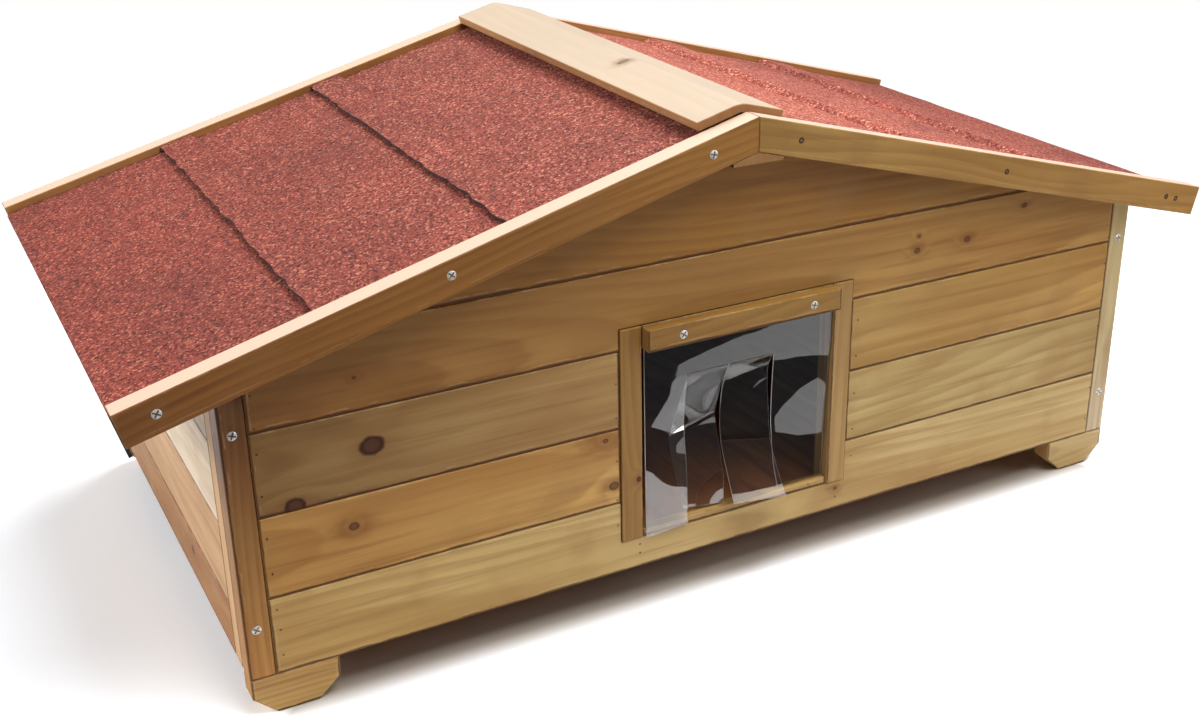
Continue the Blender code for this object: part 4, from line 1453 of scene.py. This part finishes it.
# Dark paint in the driver recess: painted shade.
RECESS_SHADE = FastenerMetal("driver_recess", paint(40, 32, 26), paint(24, 18, 14), 0.8, 0.1)
DARK_PIN = FastenerMetal("dark_pin", paint(84, 62, 46), paint(44, 28, 18), 0.5, 0.6)


@dataclass(frozen=True)
class ScrewPlace:
    """Where a screw sits on the front or rear face, how it is turned and how far it stands proud."""

    x: float
    z: float
    face: float
    turn: float = 20.0
    proud: float = 0.0004
    size: float = 1.0


@dataclass
class Fasteners:
    """Cross-head screws and thin brads."""

    effects: Effects
    head_radius: float = 0.0037
    head_depth: float = 0.0018
    head_dome: float = 0.00045
    slot_length: float = 0.0050
    slot_width: float = 0.0015
    pin_radius: float = 0.00085
    pin_depth: float = 0.0010
    pin_proud: float = 0.00012

    def build(self) -> None:
        """Model one screw and one brad, and set all the others as copies."""
        zinc, pin = ZINC.make(self.effects), DARK_PIN.make(self.effects)
        screw, brad = self._screw(zinc, RECESS_SHADE.make(self.effects)), self._brad(pin)
        for name, places, body in self._screw_sets():
            joined = self._set(screw, name, places, body)
            if name.endswith("rusted_screws"):
                dress(joined.item, RUST.make(self.effects))
        for name, spots, face in self._brad_sets():
            places = [ScrewPlace(x / 1000, z / 1000, face, 0.0, self.pin_proud) for x, z in spots]
            self._set(brad, name, places, "house")
        screw.remove()
        brad.remove()

    def _screw(self, metal: bpy.types.Material, recess_shade: bpy.types.Material) -> Piece:
        """Countersunk cross-head screw that faces -Y at the origin.

        Args:
            metal: Material of the head.
            recess_shade: Material of the driver recess, a painted shade.

        Returns:
            The screw.
        """
        head = Piece.add(bpy.ops.mesh.primitive_cylinder_add, "screw", vertices=28, radius=self.head_radius,
                         depth=self.head_depth)
        head.edit()
        head.pick_faces(lambda middle, normal: normal.z > 0.9)
        for inset, rise in ((0.0006, 0.0003), (0.0012, 0.00015)):
            bpy.ops.mesh.inset(thickness=inset, depth=0.0)
            head.shift((0.0, 0.0, rise))
        head.close()
        for arm in [self._driver_arm(index) for index in range(2)]:
            head.modify("BOOLEAN", operation="DIFFERENCE", solver="EXACT", object=arm.item)
            arm.remove()
        head.modify("BEVEL", width=0.00012, segments=2, limit_method="ANGLE", angle_limit=math.radians(50))
        dress(head.item, metal, recess_shade)
        deep = max(corner.co.z for corner in head.item.data.vertices) - 0.00008
        # Faces deep in the recess take the dark painted shade.
        for face in head.item.data.polygons:
            if face.center.xy.length < self.slot_length * 0.55 and face.center.z < deep:
                face.material_index = 1
        head.settle((0.0, self.head_depth / 2 + self.head_dome, 0.0), (math.pi / 2, 0.0, 0.0))
        head.smooth(35)
        return head

    def _driver_arm(self, index: int) -> Piece:
        """One arm of the cross that the driver recess is cut with, narrower at its foot.

        Args:
            index: 0 for the first arm, 1 for the one across it.

        Returns:
            The arm.
        """
        arm = Piece.add(bpy.ops.mesh.primitive_cube_add, f"driver_arm_{index}", size=1.0)
        arm.settle((0.0, 0.0, self.head_depth * 0.72), (0.0, 0.0, index * math.pi / 2),
                   (self.slot_length, self.slot_width, self.head_depth))
        arm.edit()
        arm.pick_faces(lambda middle, normal: normal.z < -0.9)
        bpy.ops.transform.resize(value=(0.55, 0.7, 1.0), center_override=(0, 0, 0))
        arm.close()
        return arm

    def _brad(self, metal: bpy.types.Material) -> Piece:
        """Thin brad head with a dished top that faces -Y at the origin.

        Args:
            metal: Material of the brad.

        Returns:
            The brad.
        """
        brad = Piece.add(bpy.ops.mesh.primitive_cylinder_add, "brad", vertices=10, radius=self.pin_radius,
                         depth=self.pin_depth)
        brad.edit()
        brad.pick_faces(lambda middle, normal: normal.z > 0.9)
        bpy.ops.mesh.inset(thickness=0.00018, depth=0.0)
        bpy.ops.mesh.inset(thickness=0.00015, depth=-0.00012)
        brad.close()
        brad.settle((0.0, self.pin_depth / 2, 0.0), (math.pi / 2, 0.0, 0.0))
        brad.smooth(40)
        dress(brad.item, metal)
        return brad

    @staticmethod
    def _set(model: Piece, name: str, places: Sequence[ScrewPlace], body: str) -> Piece:
        """Copy a fastener to its places and join the copies into one named set.

        Args:
            model: The fastener.
            name: Name of the set.
            places: Where the copies go.
            body: Body that the set rides on.

        Returns:
            The set.
        """
        copies = []
        for index, spot in enumerate(places):
            outward, about = (-1.0, 0.0) if spot.face < 0 else (1.0, math.pi)
            copies.append(model.copy(f"{name}_{index}"))
            copies[-1].settle((spot.x, spot.face + outward * spot.proud, spot.z),
                              (0.0, math.radians(spot.turn), about), (spot.size, 1.0, spot.size))
        joined = Piece.join(copies, name)
        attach(joined.item, body)
        log.info("set %s: %d", name, len(places))
        return joined

    @staticmethod
    def _screw_sets() -> list[tuple[str, list[ScrewPlace], str]]:
        """Sets of screws.

        Returns:
            Name, places and body of each set.
        """
        barge = ((-0.0408, 0.3909, 12), (-0.2581, 0.3335, 40), (-0.4712, 0.2752, 28),
                 (0.0395, 0.3908, 33), (0.2558, 0.3326, 8), (0.4564, 0.2782, 51), (0.4694, 0.2744, 20))
        post = ((-0.4205, 0.2375, 20), (-0.4205, 0.0765, 35), (0.4205, 0.2375, 5), (0.4205, 0.0765, 44))
        clamp = ((-0.0625, 0.2440, 38), (0.0635, 0.2440, 15))
        clamp_face = FRONT_FACE - DOOR_FRAME_DEPTH - CLAMP_DEPTH
        front_left = [ScrewPlace(x, z, -BARGEBOARD_FACE, turn) for x, z, turn in barge[:3]]
        rusted = [ScrewPlace(x, z, -BARGEBOARD_FACE, turn, 0.0003, 0.75) for x, z, turn in barge[3:]]
        rear = [ScrewPlace(-x, z, BARGEBOARD_FACE, turn + 9) for x, z, turn in barge[:6]]
        return [
            ("front_left_bargeboard_screws", front_left, "roof"),
            ("front_right_rusted_screws", rusted, "roof"),
            ("rear_bargeboard_screws", rear, "roof"),
            ("front_post_screws", [ScrewPlace(x, z, FRONT_FACE, turn) for x, z, turn in post], "house"),
            ("rear_post_screws", [ScrewPlace(-x, z, REAR_FACE, turn + 17) for x, z, turn in post], "house"),
            ("clamp_screws", [ScrewPlace(x, z, clamp_face, turn) for x, z, turn in clamp], "house"),
        ]

    @staticmethod
    def _brad_sets() -> list[tuple[str, list[tuple[float, float]], float]]:
        """Sets of brads.

        Returns:
            Name, places in millimetres and face of each set.
        """
        left = [(-405, 265), (-405, 239), (-405, 219), (-405, 185), (-405, 150), (-404, 120), (-404, 89),
                (-403, 71), (-403, 49)]
        right = [(408, 262), (408, 240), (407, 214), (408, 176), (408, 150), (408, 114), (407, 84),
                 (406, 50)]
        left_jamb = [(-118, z) for z in (208, 178, 139, 103, 79)]
        right_jamb = [(118.7, z) for z in (215, 181, 145, 110, 83)]
        foot = [(-97.3, 55), (-97.3, 46.5), (103.3, 45.5), (8.5, 66), (73, 66)]
        rear = [(x, z) for x in (-405, 0, 404) for z in (52, 108, 140, 196, 230, 286)]
        return [
            ("front_wall_brads", left + right + left_jamb + right_jamb + foot, FRONT_FACE),
            ("rear_wall_brads", rear, REAR_FACE),
        ]


# Studio


@dataclass(frozen=True)
class Softbox:
    """A soft square lamp, its place, what it looks at, its size and its power."""

    name: str
    place: Point
    aim: Point
    size: float
    power: float

    def hang(self) -> None:
        """Add the lamp."""
        lamp = bpy.data.lights.new(self.name, "AREA")
        lamp.shape = "SQUARE"
        lamp.size = self.size
        lamp.energy = self.power
        item = bpy.data.objects.new(self.name, lamp)
        item.location = self.place
        item.rotation_euler = (Vector(self.aim) - Vector(self.place)).to_track_quat("-Z", "Y").to_euler()
        bpy.context.collection.objects.link(item)


@dataclass(frozen=True)
class MirrorCard:
    """A flat card that only shows as a reflection in the clear sheet, dark or glowing white."""

    name: str
    glow: float
    outline: tuple[Point, ...]
    dark: tuple[Colour, Colour] = ((0.070, 0.072, 0.074), (0.084, 0.084, 0.086))
    white: tuple[Colour, Colour] = ((0.92, 0.91, 0.90), (0.98, 0.98, 0.98))

    def stand(self) -> None:
        """Cut the card to its outline and paint it."""
        card = Piece.add(bpy.ops.mesh.primitive_circle_add, self.name, vertices=len(self.outline),
                         radius=0.1, fill_type="NGON")
        card.place_corners([Vector(corner) for corner in self.outline])
        for ray in ("camera", "diffuse", "shadow", "volume_scatter"):
            setattr(card.item, f"visible_{ray}", False)
        bench = Finish(f"{self.name}_cloth")
        cloth = bench.place.noise(6.0).mix(*(self.white if self.glow else self.dark))
        dress(card.item, bench.done(base_color=(0.0, 0.0, 0.0) if self.glow else cloth, emission_color=cloth,
                                    emission_strength=self.glow, roughness=1.0, specular_ior_level=0.0))


def level(height: float, *corners: tuple[float, float]) -> tuple[Point, ...]:
    """Corners of a card that lies level at a height."""
    return tuple((x, y, height) for x, y in corners)


MIRROR_CARDS = (
    MirrorCard("dark_card", 0.0, level(0.0012, (-2.5, -4.0), (3.5, -4.0), (3.5, -0.31), (-2.5, -0.31))),
    MirrorCard("band_stripe_card", 1.5, level(
        0.0024, (0.150, -0.612), (0.160, -0.625), (0.175, -0.645), (0.195, -0.655), (0.225, -0.665),
        (0.260, -0.675), (0.285, -0.680), (0.330, -0.690), (0.400, -0.700), (0.600, -0.720),
        (0.600, -0.612))),
    MirrorCard("first_strip_card", 1.9, level(
        0.150, (-0.070, -0.258), (-0.050, -0.272), (-0.031, -0.287), (-0.022, -0.306), (-0.005, -0.312),
        (0.000, -0.300), (-0.012, -0.280), (-0.030, -0.245), (-0.050, -0.228), (-0.064, -0.236))),
    MirrorCard("first_strip_end_card", 3.0, level(
        0.0024, (-0.070, -0.330), (0.030, -0.335), (0.045, -0.375), (0.072, -0.430),
        (0.064, -0.444), (0.046, -0.436), (0.020, -0.415), (-0.010, -0.410), (-0.070, -0.370))),
    MirrorCard("fourth_strip_round_card", 1.5, level(
        0.0024, (0.178, -0.412), (0.195, -0.396), (0.222, -0.392), (0.250, -0.410), (0.268, -0.440),
        (0.262, -0.462), (0.243, -0.468), (0.218, -0.458), (0.195, -0.440))),
    MirrorCard("fourth_strip_top_card", 1.5, level(
        0.0024, (0.235, -0.520), (0.260, -0.510), (0.280, -0.497), (0.300, -0.485), (0.360, -0.520),
        (0.360, -0.580), (0.250, -0.580))),
    MirrorCard("third_strip_end_card", 3.0, (
        (0.63, -2.0, 0.08), (1.30, -2.0, 0.08), (1.30, -2.0, 1.10), (0.63, -2.0, 1.10))),
)


@dataclass
class Studio:
    """Pale floor, mirror cards, soft lamps, world and the camera."""

    camera_place: Point = (-0.61647, -1.20228, 0.71333)
    camera_right: Point = (0.87356, -0.48671, -0.00339)
    camera_down: Point = (-0.19420, -0.34216, -0.91935)
    camera_forward: Point = (0.44630, 0.80377, -0.39342)
    lens: float = 45.03
    shift: tuple[float, float] = (-0.04614, -0.01928)
    fill: float = 0.14
    floor_lift: float = 1.5
    lamps: tuple[Softbox, ...] = (
        Softbox("top_softbox", (0.15, -0.85, 2.05), (0.1, 0.0, 0.2), 1.1, 36.0),
        Softbox("rear_softbox", (1.0, 0.8, 2.2), (0.2, 0.0, 0.3), 1.2, 42.0),
        Softbox("left_softbox", (-2.2, 0.7, 1.3), (-0.3, 0.0, 0.3), 1.2, 46.0),
        Softbox("right_softbox", (1.9, -1.5, 1.0), (0.3, -0.2, 0.1), 0.9, 12.0),
    )

    def build(self) -> None:
        """Set up the floor, the cards, the lamps, the world and the camera."""
        floor = Piece.grid("studio_floor", 8, 8, 24.0).item
        dress(floor, self._floor_paint())
        for card in MIRROR_CARDS:
            card.stand()
        for lamp in self.lamps:
            lamp.hang()
        self._world()
        self._camera()

    def _floor_paint(self) -> bpy.types.Material:
        """Pale paint that keeps the house's shadow, adds painted shadows under the house and to its left,
        and turns white further out.

        Returns:
            The material.
        """
        bench = Finish("studio_floor_paint")
        place = bench.place
        inside = place.lay("ABSOLUTE")
        away = (inside - (0.45, 0.24, 0.0)).most((0.0, 0.0, 0.0)).lay("LENGTH")
        path = bench.wires(bench.add("ShaderNodeLightPath"))
        mirrored = path.is_camera_ray.most(path.is_glossy_ray).most(path.is_transmission_ray)
        tone = away.reach(0.22, 0.75, 0.92, 0.30) * place.noise(3.0).reach(0.3, 0.7, 0.98, 1.0, False)
        # Painted shadow under the house: the floor in its footprint is painted dark.
        beyond_side, beyond_front, _ = (inside - (0.42, 0.262, 0.0)).parts()
        under = beyond_side.most(beyond_front).reach(0.0, -0.03)
        # Painted shadow to the left of the house, a soft greyish lilac patch.
        lee = ((place - (-0.78, 0.12, 0.0)) * (1.9, 1.6, 1.0)).lay("LENGTH")
        lifted = lee.reach(0.35, 1.15).mix(tinted((0.66, 0.69, 0.73), self.floor_lift),
                                           tinted((0.90, 0.92, 0.94), self.floor_lift))
        paints = (away.reach(0.35, 0.9) * path.is_camera_ray, bench.wire(bench.shader),
                  bench.wire(bench.add("ShaderNodeEmission")))
        seen = bench.wire(bench.fill("ShaderNodeMixShader", paints))
        bench.feed_named(bench.tree.nodes["Material Output"], surface=seen)
        return bench.done(base_color=mirrored.mix(tone, under.mix(lifted, (0.42, 0.37, 0.32))),
                          roughness=place.noise(30.0).reach(0.3, 0.7, 0.85, 0.95, False),
                          specular_ior_level=0.0)

    def _world(self) -> None:
        """White room for the camera, softer as a light."""
        world = bpy.data.worlds.new("pale_room")
        world.use_nodes = True
        bpy.context.scene.world = world
        bench = NodeBench(world.node_tree)
        path = bench.wires(bench.add("ShaderNodeLightPath"))
        bench.feed_named(world.node_tree.nodes["Background"], color=(1.0, 1.0, 1.0),
                         strength=path.is_camera_ray.reach(0.0, 1.0, self.fill, 1.0, False))

    def _camera(self) -> None:
        """Camera at the place from which the house was pictured."""
        lens = bpy.data.cameras.new("camera")
        lens.lens = self.lens
        lens.sensor_width = 36.0
        lens.shift_x, lens.shift_y = self.shift
        lens.clip_start, lens.clip_end = 0.05, 60.0
        item = bpy.data.objects.new("camera", lens)
        axes = (self.camera_right, self.camera_down, self.camera_forward)
        right, down, forward = (Vector(axis) for axis in axes)
        turn = Matrix((right, -down, -forward)).transposed()
        item.matrix_world = Matrix.Translation(self.camera_place) @ turn.to_4x4()
        bpy.context.collection.objects.link(item)
        bpy.context.scene.camera = item
        bpy.context.scene.view_settings.view_transform = "Standard"


def main() -> None:
    """Build every sub-assembly in order."""
    logging.basicConfig(level=logging.INFO, format="%(name)s: %(message)s")
    effects = Effects()
    Woodwork(FirDresser(effects)).build()
    FeltRoof(MineralFelt(), effects).build()
    SlitCurtain(ClearPlastic(effects)).build()
    Fasteners(effects).build()
    Studio().build()
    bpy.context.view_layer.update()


if __name__ == "__main__":
    main()
